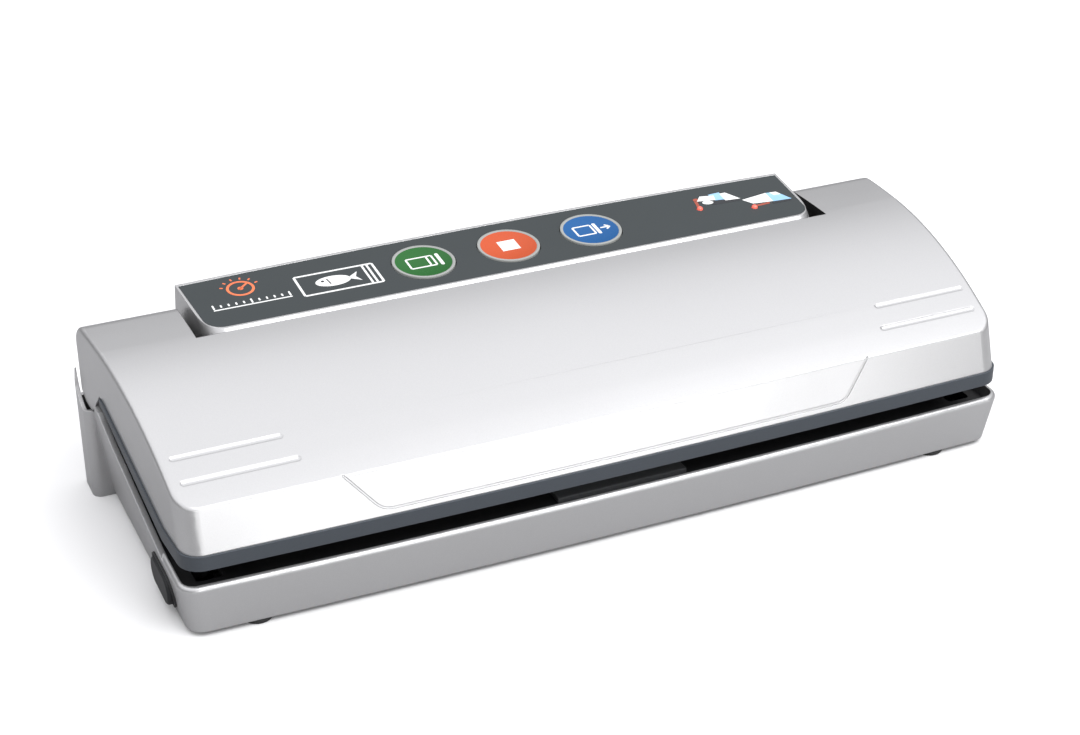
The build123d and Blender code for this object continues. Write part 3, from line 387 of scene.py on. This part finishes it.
white, _ = finish("natural_nylon", ((0.70, 0.69, 0.65), (0.78, 0.77, 0.73)), (0.4, 0.5),
                  grain=(1400.0, 0.00001))
film, _ = finish("printed_film", ((0.040, 0.047, 0.050), (0.047, 0.055, 0.058)), (0.56, 0.64),
                 grain=(1700.0, 0.000008), edge=0.0002, highlight_and_wear_tone=(0.16, 0.17, 0.175), coarse=0.7,
                 gloss=0.25)
print("painted and moulded finishes are ready")

# %% [markdown]
# The round wall of the lid's notch, which hides behind the button housing, lies in deep shade,
# and that shade is painted into its colour as near black. The wall is round about the hinge
# axis, so a point's distance from that axis tells where the painted shade starts. A mask from that
# distance turns both the colour and the metal of the paint to a plain dark painted shade.

# %% The painted shade in the notch
NOTCH_R = 36.3 * MM
NOTCH_HALF = 151.6 * MM
SHADE_EDGE_OFFSET = 0.12 * MM
FADE_END = 0.2 * SHADE_EDGE_OFFSET
# a near-black painted shade for the notch wall, which lies in deep shade
NOTCH_PAINTED_SHADE = (0.006, 0.006, 0.0065, 1)


def joint_named(name):
    """One joint of the frame, by its name."""
    return next(joint for joint in frame["joints"] if joint["name"] == name)


lid_with_notch_shade, notch_shade_parts = finish("satin_silver_lid", SILVER_TONES, SILVER_GLOSS, grain=SILVER_GRAIN,
                              edge=SILVER_EDGE, highlight_and_wear_tone=SILVER_HIGHLIGHT_AND_WEAR, metallic=SILVER_METAL)
notch_shade_tree = notch_shade_parts["tree"]
notch_shade_place = add_node(notch_shade_tree, "ShaderNodeTexCoord")
from_axis = add_node(notch_shade_tree, "ShaderNodeVectorMath", operation="SUBTRACT")
from_axis.inputs[1].default_value = Vector(joint_named("lid_hinge")["pos_m"])
across_axis = add_node(notch_shade_tree, "ShaderNodeVectorMath", operation="MULTIPLY")
across_axis.inputs[1].default_value = (0, 1, 1)
axis_distance = add_node(notch_shade_tree, "ShaderNodeVectorMath", operation="LENGTH")
in_notch = add_node(notch_shade_tree, "ShaderNodeMapRange")
in_notch.inputs["From Min"].default_value = NOTCH_R + SHADE_EDGE_OFFSET
in_notch.inputs["From Max"].default_value = NOTCH_R + FADE_END
end_split = add_node(notch_shade_tree, "ShaderNodeSeparateXYZ")
end_side = add_node(notch_shade_tree, "ShaderNodeMath", operation="ABSOLUTE")
end_inside = add_node(notch_shade_tree, "ShaderNodeMath", operation="LESS_THAN")
end_inside.inputs[1].default_value = NOTCH_HALF
notch_shade_mask = add_node(notch_shade_tree, "ShaderNodeMath", operation="MULTIPLY")
notch_shade_colour = add_node(notch_shade_tree, "ShaderNodeMix", data_type="RGBA")
notch_shade_colour.inputs["B"].default_value = NOTCH_PAINTED_SHADE
notch_shade_metal = add_node(notch_shade_tree, "ShaderNodeMapRange")
notch_shade_metal.inputs["To Min"].default_value = SILVER_METAL
notch_shade_metal.inputs["To Max"].default_value = 0.0
connect(
    notch_shade_tree,
    (notch_shade_place.outputs["Object"], from_axis.inputs[0]),
    (from_axis.outputs["Vector"], across_axis.inputs[0]),
    (across_axis.outputs["Vector"], axis_distance.inputs[0]),
    (axis_distance.outputs["Value"], in_notch.inputs["Value"]),
    (notch_shade_place.outputs["Object"], end_split.inputs[0]),
    (end_split.outputs["X"], end_side.inputs[0]),
    (end_side.outputs[0], end_inside.inputs[0]),
    (in_notch.outputs["Result"], notch_shade_mask.inputs[0]),
    (end_inside.outputs[0], notch_shade_mask.inputs[1]),
    (notch_shade_mask.outputs[0], notch_shade_colour.inputs["Factor"]),
    (notch_shade_mask.outputs[0], notch_shade_metal.inputs["Value"]),
    (notch_shade_parts["highlight_and_wear"].outputs["Result"], notch_shade_colour.inputs["A"]),
    (notch_shade_colour.outputs["Result"], notch_shade_parts["shader"].inputs["Base Color"]),
    (notch_shade_metal.outputs["Result"], notch_shade_parts["shader"].inputs["Metallic"]))
# the painted shade on the notch wall starts this far from the hinge axis
print("painted notch shade starts", round(NOTCH_R / MM, 1), "mm from the hinge axis")

# %% Rubber, foam and metal finishes
# each lighter edge tone below is part wear and part painted highlight
rubber, _ = finish("black_rubber", ((0.014, 0.014, 0.014), (0.022, 0.022, 0.022)), (0.62, 0.78),
                   grain=(700.0, 0.00004), highlight_and_wear_tone=(0.04, 0.04, 0.04))
foam, _ = finish("closed_cell_foam", ((0.020, 0.020, 0.022), (0.042, 0.042, 0.045)), (0.8, 0.95),
                 grain=(1300.0, 0.00022), edge=0.0012, highlight_and_wear_tone=(0.05, 0.05, 0.053), coarse=0.9)
silicone, _ = finish("grey_silicone", ((0.23, 0.24, 0.25), (0.27, 0.28, 0.29)), (0.5, 0.62),
                     grain=(500.0, 0.00002), edge=0.0008)
steel, _ = finish("zinc_plated_steel", ((0.50, 0.50, 0.51), (0.62, 0.62, 0.61)), (0.24, 0.42),
                  grain=(420.0, 0.00001), highlight_and_wear_tone=(0.72, 0.72, 0.72), metallic=1.0, smudge=60.0)
nickel, _ = finish("resistance_strip", ((0.42, 0.39, 0.36), (0.56, 0.52, 0.47)), (0.28, 0.45),
                   grain=(700.0, 0.00001), metallic=1.0, smudge=90.0)
hose, hose_parts = finish("milky_silicone", ((0.62, 0.64, 0.61), (0.68, 0.70, 0.67)), (0.35, 0.45),
                          grain=(300.0, 0.00001))
hose_parts["shader"].inputs["Subsurface Weight"].default_value = 0.3
print("soft and metal finishes are ready")

# %% Button colours
LABEL_GRAIN = (1500.0, 0.000006)


def label_finish(name, darker, lighter):
    """The finish of a button's coloured label, from two close tones."""
    return finish(name, (darker, lighter), (0.42, 0.5), grain=LABEL_GRAIN, edge=0.0002,
                  gloss=0.3)[0]


green = label_finish("button_green", (0.010, 0.108, 0.015), (0.013, 0.124, 0.020))
orange = label_finish("button_orange", (0.51, 0.072, 0.019), (0.55, 0.086, 0.025))
blue = label_finish("button_blue", (0.005, 0.086, 0.270), (0.008, 0.099, 0.300))
bezel, _ = finish("button_bezel", ((0.30, 0.31, 0.30), (0.34, 0.35, 0.34)), (0.40, 0.48),
                  grain=LABEL_GRAIN, edge=0.0003)
print("button colours are ready")

# %% [markdown]
# The non-stick tape is a woven glass cloth: two sets of fine stripes across each other. The
# transformer's core is a stack of thin steel sheets, and its coil is wound wire, so both
# are stripes too, one fine and flat, the other round and deep. Stripes come from a wave texture.


# %% Stripes for woven, stacked and wound parts
def stripes(parts, axes, pitch, depth, profile="SIN"):
    """Replace the bump's height by stripes along each named axis, a pitch apart."""
    tree, bump = parts["tree"], parts["bump"]
    place = add_node(tree, "ShaderNodeTexCoord")
    height = None
    for axis in axes:
        wave = add_node(tree, "ShaderNodeTexWave", bands_direction=axis, wave_profile=profile)
        # a wave texture of scale 1 repeats every pi / 10 metres
        wave.inputs["Scale"].default_value = math.pi / (10.0 * pitch)
        connect(tree, (place.outputs["Object"], wave.inputs["Vector"]))
        if height is None:
            height = wave.outputs["Fac"]
        else:
            both = add_node(tree, "ShaderNodeMath", operation="MAXIMUM")
            connect(tree, (height, both.inputs[0]), (wave.outputs["Fac"], both.inputs[1]))
            height = both.outputs[0]
    connect(tree, (height, bump.inputs["Height"]), (height, parts["tint"].inputs["Factor"]))
    bump.inputs["Distance"].default_value = depth


tape, tape_parts = finish("woven_tape", ((0.24, 0.17, 0.10), (0.42, 0.32, 0.20)), (0.4, 0.5),
                          edge=0.0001)
stripes(tape_parts, "XY", pitch=0.0008, depth=0.00005)
copper, copper_parts = finish("wound_copper", ((0.20, 0.06, 0.025), (0.62, 0.27, 0.12)),
                              (0.25, 0.35), metallic=0.9)
stripes(copper_parts, "Z", pitch=0.0009, depth=0.0004)
core, core_parts = finish("stacked_steel", ((0.09, 0.09, 0.095), (0.20, 0.20, 0.21)),
                          (0.4, 0.55), metallic=0.8)
stripes(core_parts, "X", pitch=0.0006, depth=0.0001, profile="SAW")
print("stripe finishes are ready")

# %% Circuit board
# A lacquered board shows its copper tracks as slightly lighter, raised lines.
TRACK_SCALE = 90.0
TRACK_WIDTH = 0.06
board, board_parts = finish("circuit_board", ((0.006, 0.075, 0.030), (0.020, 0.150, 0.060)),
                            (0.22, 0.32), coat=0.3)
board_place = add_node(board_parts["tree"], "ShaderNodeTexCoord")
tracks = add_node(board_parts["tree"], "ShaderNodeTexBrick", Scale=TRACK_SCALE)
tracks.inputs["Mortar Size"].default_value = TRACK_WIDTH
connect(
    board_parts["tree"],
    (board_place.outputs["Object"], tracks.inputs["Vector"]),
    (tracks.outputs["Fac"], board_parts["tint"].inputs["Factor"]),
    (tracks.outputs["Fac"], board_parts["bump"].inputs["Height"]))
print("board finish is ready")

# %% Indicator light
# The lamp windows glow a little, so the finish gives out some of its own red.
LAMP_GLOW = 0.35
lamp, lamp_parts = finish("lamp_red", ((0.80, 0.10, 0.07), (0.95, 0.20, 0.14)), (0.15, 0.25),
                          edge=0.0002, grain=(800.0, 0.00001), coat=0.4)
lamp_parts["shader"].inputs["Emission Strength"].default_value = LAMP_GLOW
connect(
    lamp_parts["tree"],
    (lamp_parts["tint"].outputs["Result"], lamp_parts["shader"].inputs["Emission Color"]))
print("lamp finish is ready")

# %% [markdown]
# ## Dressing the solid parts
# Each part of the solid model is given the finish of the real piece. The three outer
# shells share the silver paint, the band under the lid's edge is blue-grey, and what is seen with
# the lid open is black, so that the bag and its mouth stand out.

# %% Which part has which finish
FINISHES = {
    # the lid's silver carries a painted shade on its notch wall
    lid_with_notch_shade: ["lid_cover"],
    silver: ["base_housing", "control_housing"],
    trim: ["lid_liner"],
    film: ["control_overlay"],
    black: ["chamber_deck", "bottom_cover", "seal_bar", "power_inlet", "lid_switch", "pump_body",
            "pump_head", "board_parts", "button_switches", "button_collar_right",
            "button_collar_left", "lid_hook_right", "lid_hook_left", "latch_slider_right",
            "latch_slider_left"],
    grey: ["bag_guide"],
    dark_grey: ["release_button_right", "release_button_left"],
    white: ["pump_rod", "suction_port", "air_valve"],
    rubber: ["rubber_feet", "pump_diaphragm"],
    foam: ["lower_gasket", "upper_gasket"],
    silicone: ["press_strip"],
    steel: ["bottom_screws", "bracket_screws", "liner_screws", "hinge_pin_right", "hinge_pin_left",
            "hinge_bracket_right", "hinge_bracket_left", "latch_spring_right", "latch_spring_left",
            "pump_motor", "pump_bracket", "pump_shaft", "pump_eccentric"],
    nickel: ["heating_strip"],
    tape: ["release_tape"],
    copper: ["transformer_coil"],
    core: ["transformer_core"],
    board: ["control_board", "button_board"],
    hose: ["vacuum_hose"],
    lamp: ["indicator_lights"],
    green: ["seal_button"],
    orange: ["stop_button"],
    blue: ["vacuum_button"],
}


def dress(piece, material):
    """Give a piece one material in its only slot."""
    piece.data.materials.clear()
    piece.data.materials.append(material)


for material, names in FINISHES.items():
    for name in names:
        dress(nodes[name], material)
undressed = sorted(set(nodes) - {name for names in FINISHES.values() for name in names})
print("parts without a finish:", undressed)

# %% [markdown]
# ## Modelling helpers
# New pieces are modelled flat on the ground and then carried to the sloping panel in one
# move. The panel's slope is known from the direction in which its buttons are pressed. On the
# panel a place is u along it and w up its slope, from the middle of its buttons' row.

# %% The panel's own axes
panel_normal = -Vector(joint_named("stop_button_press")["axis"]).normalized()
panel_across = Vector((1, 0, 0))
panel_up = panel_normal.cross(panel_across)
film_points = [vertex.co for vertex in nodes["control_overlay"].data.vertices]
panel_level = max(point.dot(panel_normal) for point in film_points)
stop_low, stop_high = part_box("stop_button")
stop_middle = (stop_low + stop_high) / 2
panel_origin = stop_middle + panel_normal * (panel_level - stop_middle.dot(panel_normal))
panel_origin.x = 0.0
PANEL = Matrix((panel_across, panel_up, panel_normal)).transposed().to_4x4()
PANEL.translation = panel_origin
print("panel slopes", round(math.degrees(math.atan2(panel_up.z, panel_up.y)), 2), "degrees")


# %% Selection and finishing helpers
def nothing_selected():
    """Leave edit mode and deselect every object."""
    if bpy.context.mode != "OBJECT":
        bpy.ops.object.mode_set(mode="OBJECT")
    bpy.ops.object.select_all(action="DESELECT")


def only(piece):
    """Make one piece the selected and active object."""
    nothing_selected()
    piece.select_set(True)
    bpy.context.view_layer.objects.active = piece


def pick_faces(piece, test):
    """Enter edit mode with the faces selected whose centre and normal pass the test."""
    only(piece)
    for vertex in piece.data.vertices:
        vertex.select = False
    for line in piece.data.edges:
        line.select = False
    for face in piece.data.polygons:
        face.select = test(face.center, face.normal)
    bpy.context.tool_settings.mesh_select_mode = (False, False, True)
    bpy.ops.object.mode_set(mode="EDIT")


def apply_modifier(piece, kind, **values):
    """Add a modifier with these values and apply it."""
    only(piece)
    modifier = piece.modifiers.new(kind.lower(), kind)
    for label, value in values.items():
        setattr(modifier, label, value)
    bpy.ops.object.modifier_apply(modifier=modifier.name)


def smooth(piece, degrees=35.0):
    """Shade a piece smooth, except over its sharp edges."""
    only(piece)
    bpy.ops.object.shade_smooth_by_angle(angle=math.radians(degrees))


# %% [markdown]
# ## Push buttons
# Each button is a round cap, level with the panel, with a thin raised rim and a coloured label
# set inside it. It could be turned in a lathe from one profile. Here a cylinder is inset and
# extruded twice, for the flange that holds the cap under the panel and for the well that
# takes the label, because the same few steps then give the stem below.

# %% One button cap
CAP_R = 14.2 * MM
CAP_TOP = 0.6 * MM
FLANGE_R = 15.6 * MM
FLANGE_LOW = -5.0 * MM
FLANGE_HIGH = -3.6 * MM
RIM_WIDTH = 1.3 * MM
LABEL_DEPTH = 0.22 * MM
STEM_R = 2.5 * MM
STEM_END = -6.7 * MM
CAP_BEVEL = 0.12 * MM
FLAT_ENOUGH = 0.02 * MM


def pull(distance):
    """Extrude the selected faces straight up, or down when the distance is negative."""
    bpy.ops.mesh.extrude_region_move(TRANSFORM_OT_translate={"value": (0, 0, distance)})


def button_cap(name, colour):
    """A button cap round the panel's axis, with its rim and its coloured label."""
    nothing_selected()
    bpy.ops.mesh.primitive_cylinder_add(
        vertices=96, radius=FLANGE_R, depth=FLANGE_HIGH - FLANGE_LOW,
        location=(0, 0, (FLANGE_LOW + FLANGE_HIGH) / 2))
    cap = bpy.context.active_object
    cap.name = name
    bpy.ops.object.transform_apply(location=True, rotation=True, scale=True)
    pick_faces(cap, lambda centre, normal: normal.z > 0.9)
    bpy.ops.mesh.inset(thickness=FLANGE_R - CAP_R)
    pull(CAP_TOP - FLANGE_HIGH)
    bpy.ops.mesh.inset(thickness=RIM_WIDTH)
    pull(-LABEL_DEPTH)
    pick_faces(cap, lambda centre, normal: normal.z < -0.9)
    bpy.ops.mesh.inset(thickness=FLANGE_R - STEM_R)
    pull(STEM_END - FLANGE_LOW)
    nothing_selected()
    apply_modifier(cap, "BEVEL", width=CAP_BEVEL, segments=3, limit_method="ANGLE",
                   angle_limit=math.radians(50), harden_normals=True)
    cap.data.materials.append(bezel)
    cap.data.materials.append(colour)
    label_level = CAP_TOP - LABEL_DEPTH
    for face in cap.data.polygons:
        on_label = face.normal.z > 0.99 and abs(face.center.z - label_level) < FLAT_ENOUGH
        face.material_index = 1 if on_label else 0
    smooth(cap)
    return cap


BUTTONS = {
    "seal_button": (green, "button_green"),
    "stop_button": (orange, "button_orange"),
    "vacuum_button": (blue, "button_blue"),
}
for node, (colour, slot) in BUTTONS.items():
    cap = button_cap(node + "_cap", colour)
    low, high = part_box(node)
    cap.data.transform(PANEL @ Matrix.Translation(((low.x + high.x) / 2, 0, 0)))
    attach(cap, node)
    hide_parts(node)
print(len(BUTTONS), "button caps of", round(2 * CAP_R / MM, 1), "mm")

# %% [markdown]
# ## Foam gaskets
# The two loops of foam are cut from a sheet and pressed in grooves, so their free edges
# are soft and slightly swollen. They could be swept along the loop. A bevelled copy of the
# solid loop keeps the exact track and width, which is what the seal depends on.


# %% A softened copy of a solid part
SAME_POINT = 0.004 * MM
FOAM_ROUND = 1.5 * MM


def softened(node, width, segments=4, degrees=50.0):
    """Copy a part, merge its loose triangles, clear its flat faces and round its sharp edges."""
    nothing_selected()
    piece = nodes[node].copy()
    piece.data = nodes[node].data.copy()
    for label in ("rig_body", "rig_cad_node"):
        del piece[label]
    piece.parent = None
    piece.name = node + "_soft"
    bpy.context.scene.collection.objects.link(piece)
    pick_faces(piece, lambda centre, normal: True)
    bpy.ops.mesh.remove_doubles(threshold=SAME_POINT)
    bpy.ops.mesh.dissolve_limited(angle_limit=math.radians(1.0))
    bpy.ops.object.mode_set(mode="OBJECT")
    apply_modifier(piece, "BEVEL", width=width, segments=segments, limit_method="ANGLE",
                   angle_limit=math.radians(degrees), harden_normals=False)
    smooth(piece)
    return piece


for node, body in (("lower_gasket", "base"), ("upper_gasket", "lid")):
    loop = softened(node, FOAM_ROUND)
    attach(loop, body)
    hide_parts(node)
    print(loop.name, "has", len(loop.data.polygons), "faces")

# %% [markdown]
# ## Latch springs
# A coil spring pushes each release button out again, so it gets shorter as the latch comes in. A
# solid copy stays long and runs through the latch. Here the coil is copied with its wire rounded,
# hung on the base and given a mesh of its own, and it keeps its full length.

# %% The latch springs
WIRE_ROUND = 0.1 * MM
for side in ("right", "left"):
    node, press = "latch_spring_" + side, "release_" + side + "_press"
    spring = softened(node, WIRE_ROUND)
    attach(spring, "base")
    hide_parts(node)
    low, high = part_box(node)
    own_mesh(spring)

# %% [markdown]
# ## Print on the panel and buttons
# The pictures are screen-printed: flat shapes of thick ink. They could be coloured in the
# film's material, but ink as thin solid shapes keeps a clean edge at any distance. Every picture
# is put together from bars, discs, rings and four-sided patches, and the words of such panels
# are told in pictures: a bag, its weld and the air that leaves it.

# %% Stamps: bars, discs, rings and patches
# A stamp's sizes and its place are given in millimetres, and its turn in degrees.
INK = 0.05 * MM


def lay(stamp, u, w, turn=0.0, stretch=(1, 1)):
    """Stretch a stamp, turn it and move it to its place in the picture."""
    shape = Matrix.Rotation(math.radians(turn), 4, "Z") @ Matrix.Diagonal((*stretch, 1, 1))
    stamp.data.transform(Matrix.Translation((u * MM, w * MM, 0)) @ shape)
    return stamp


def bar(u, w, length, width, turn=0.0, round_ends=True):
    """A flat bar, with its corners rounded unless it is told otherwise."""
    nothing_selected()
    bpy.ops.mesh.primitive_plane_add(size=MM)
    stamp = bpy.context.active_object
    stamp.data.transform(Matrix.Diagonal((length, width, 1, 1)))
    if round_ends:
        bpy.ops.object.mode_set(mode="EDIT")
        bpy.ops.mesh.bevel(offset=0.42 * min(length, width) * MM, segments=4, affect="VERTICES")
        bpy.ops.object.mode_set(mode="OBJECT")
    return lay(stamp, u, w, turn)


def disc(u, w, radius, squash=1.0, turn=0.0, sides=40):
    """A flat disc, or an oval when squashed."""
    nothing_selected()
    bpy.ops.mesh.primitive_circle_add(vertices=sides, radius=radius * MM, fill_type="NGON")
    stamp = bpy.context.active_object
    return lay(stamp, u, w, turn, stretch=(1, squash))


def patch(*corners):
    """A flat patch with four corners, in order round it."""
    nothing_selected()
    bpy.ops.mesh.primitive_plane_add(size=MM)
    stamp = bpy.context.active_object
    round_the_plane = (0, 1, 3, 2)
    for number, (u, w) in zip(round_the_plane, corners):
        stamp.data.vertices[number].co = (u * MM, w * MM, 0)
    return stamp


def ring(u, w, radius, width, sides=48):
    """A flat ring, made by insetting a disc and deleting its middle."""
    stamp = disc(0, 0, radius, sides=sides)
    pick_faces(stamp, lambda centre, normal: True)
    bpy.ops.mesh.inset(thickness=width * MM)
    bpy.ops.mesh.delete(type="FACE")
    nothing_selected()
    return lay(stamp, u, w)


def outline(u, w, length, height, width):
    """Four bars round a rectangle."""
    return [bar(u, w + height / 2, length, width), bar(u, w - height / 2, length, width),
            bar(u - length / 2, w, width, height), bar(u + length / 2, w, width, height)]


# %% Pressing the stamps on a surface
def press_on(name, stamps, ink, body, slot, u=0.0, lift=0.0, w=0.0):
    """Join stamps into one print, give it the ink's thickness and lay it on the panel."""
    nothing_selected()
    for stamp in stamps:
        stamp.select_set(True)
    bpy.context.view_layer.objects.active = stamps[0]
    if len(stamps) > 1:
        bpy.ops.object.join()
    sheet = bpy.context.active_object
    sheet.name = name
    pick_faces(sheet, lambda centre, normal: True)
    bpy.ops.mesh.normals_make_consistent(inside=False)
    pull(INK)
    bpy.ops.mesh.select_all(action="SELECT")
    bpy.ops.mesh.normals_make_consistent(inside=False)
    bpy.ops.object.mode_set(mode="OBJECT")
    sheet.data.transform(PANEL @ Matrix.Translation((u * MM, w * MM, lift)))
    dress(sheet, ink)
    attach(sheet, body)
    return sheet


# %% Inks
INK_GRAIN_DEPTH = 0.000004
INK_EDGE = 0.00002


def ink_finish(name, darker, lighter, grain_scale=1500.0):
    """The finish of one printing ink; a low grain scale gives it broad, soft patches."""
    return finish(name, (darker, lighter), (0.4, 0.5), grain=(grain_scale, INK_GRAIN_DEPTH),
                  edge=INK_EDGE)[0]


ink_white = ink_finish("ink_white", (0.80, 0.81, 0.80), (0.86, 0.87, 0.86))
ink_sky = ink_finish("ink_sky", (0.22, 0.47, 0.74), (0.42, 0.66, 0.88), grain_scale=160.0)
ink_red = ink_finish("ink_red", (0.30, 0.055, 0.03), (0.40, 0.08, 0.045))
ink_dark = ink_finish("ink_dark", (0.010, 0.012, 0.016), (0.018, 0.020, 0.026))
ink_orange = ink_finish("ink_orange", (0.78, 0.12, 0.05), (0.88, 0.24, 0.08), grain_scale=200.0)
print("inks are ready")

# %% Pictures on the buttons
# Green welds only: a bag with its weld. Orange stops. Blue draws the air out, then welds.
def print_button(button, stamps):
    """Print a white picture on the label of a button."""
    low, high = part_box(button)
    press_on(button + "_picture", stamps, ink_white, button, "white_plastic",
             u=round((low.x + high.x) / 2 / MM, 3), lift=CAP_TOP - LABEL_DEPTH)


print_button("seal_button", outline(-1.2, -0.4, 12.0, 8.4, 0.9) + [
    bar(2.2, -0.4, 0.9, 8.4), bar(7.4, -0.4, 1.6, 10.2)])
print_button("stop_button", [bar(0, 0, 8.6, 8.6, round_ends=False)])
print_button("vacuum_button", outline(-3.4, 0, 8.6, 8.0, 0.9) + [
    bar(2.9, 0, 1.6, 9.6), bar(7.0, 0, 4.6, 0.9),
    bar(8.4, 0.9, 3.0, 0.9, turn=-42), bar(8.4, -0.9, 3.0, 0.9, turn=42)])
print("three button pictures are printed")

# %% Pictures on the panel's left end
# A gauge with its needle stands at the far end, over a small scale, and next to it a packed fish.
GAUGE_MARKS = 6
GAUGE_MARK_R = 8.3
SCALE_STEPS = 10
SCALE_STEP = 3.4
FISH_PLACE = {"u": -81.0, "w": -1.0}

gauge = [ring(0, 0, 6.2, 1.2), bar(1.6, 1.4, 6.4, 1.0, turn=42), disc(0, 0, 1.3)]
for mark in range(GAUGE_MARKS):
    angle = math.radians(20 + 28 * mark)
    gauge.append(bar(GAUGE_MARK_R * math.cos(angle), GAUGE_MARK_R * math.sin(angle), 1.6, 0.8,
                     turn=math.degrees(angle)))
press_on("panel_gauge", gauge, ink_orange, "base", "button_orange", u=-123.0, w=7.0)

scale = [bar(SCALE_STEP * (step - SCALE_STEPS / 2), 0, 0.8, 3.6 if step % 5 == 0 else 2.0)
         for step in range(SCALE_STEPS + 1)]
scale.append(bar(0, -2.6, 35.0, 0.8))
press_on("panel_scale", scale, ink_white, "base", "white_plastic", u=-121.5, w=-4.5)

fish = outline(0, 0, 36.0, 16.5, 1.1) + [
    bar(13.2, 0, 1.0, 16.5), bar(15.4, 0, 1.0, 16.5), disc(-2.6, 0, 8.0, squash=0.52),
    patch((4.0, 0.0), (9.6, -3.9), (7.9, 0.0), (9.6, 3.9))]
press_on("panel_packed_fish", fish, ink_white, "base", "white_plastic", **FISH_PLACE)
eye_and_gill = [disc(-7.2, 0.9, 0.75), bar(-4.6, 0, 0.6, 4.6, turn=8)]
press_on("panel_fish_eye", eye_and_gill, ink_dark, "base", "overlay", lift=INK, **FISH_PLACE)
print("gauge, scale and packed fish are printed")

# %% Pictures beside the lamps
# Each lamp has a picture of the step it stands for: a hand lays a bag in, and the bag lies welded.
def step_picture(name, u, w, layers):
    """Print a picture's layers, each a part, an ink, a slot and stamps, from the lowest up."""
    for height, (part, ink, slot, stamps) in enumerate(layers):
        press_on("panel_" + name + "_" + part, stamps, ink, "base", slot, u=u, w=w,
                 lift=height * INK)
    print("the", name, "step has", len(layers), "layers of ink")


step_picture("first", 108.0, 6.0, [
    ("shadow", ink_dark, "overlay", [
        patch((-3.0, -4.4), (11.5, -5.0), (8.5, 0.5), (-3.0, 0.5))]),
    ("wire", ink_red, "light_red", [
        bar(-9.7, -1.4, 1.5, 6.2, turn=-12), disc(-8.2, 2.4, 1.6)]),
    ("bag", ink_sky, "button_blue", [
        patch((0.2, -0.8), (6.0, -1.6), (5.4, 5.6), (-0.6, 5.2))]),
    ("hand", ink_white, "white_plastic", [
        patch((-8.6, 1.0), (0.4, -0.6), (1.6, 3.6), (-5.2, 5.0)),
        disc(-4.2, -1.6, 2.7, squash=0.62, turn=-10),
        patch((4.6, -2.6), (12.2, -3.4), (8.0, 4.4), (5.0, 4.2))])])
step_picture("second", 130.6, -1.4, [
    ("shadow", ink_dark, "overlay", [
        patch((2.0, -5.8), (11.6, -6.0), (12.4, -3.4), (2.0, -3.0))]),
    ("wire", ink_red, "light_red", [
        bar(-3.4, -4.6, 8.6, 1.5, turn=4)]),
    ("bag", ink_sky, "button_blue", [
        patch((3.0, -3.8), (12.6, -4.4), (8.8, 4.0), (3.4, 4.6))]),
    ("film", ink_white, "white_plastic", [
        patch((-10.4, 2.4), (-7.2, -2.6), (3.0, -3.8), (3.4, 4.6)),
        patch((6.2, 1.6), (9.9, 1.2), (8.8, 4.0), (5.4, 4.4))])])

# %% [markdown]
# ## Size
# Paint, print and foam must not make the machine bigger. The box of the solid model is printed
# near the start, and this last cell only clears the selection.

# %% Clearing the selection
nothing_selected()
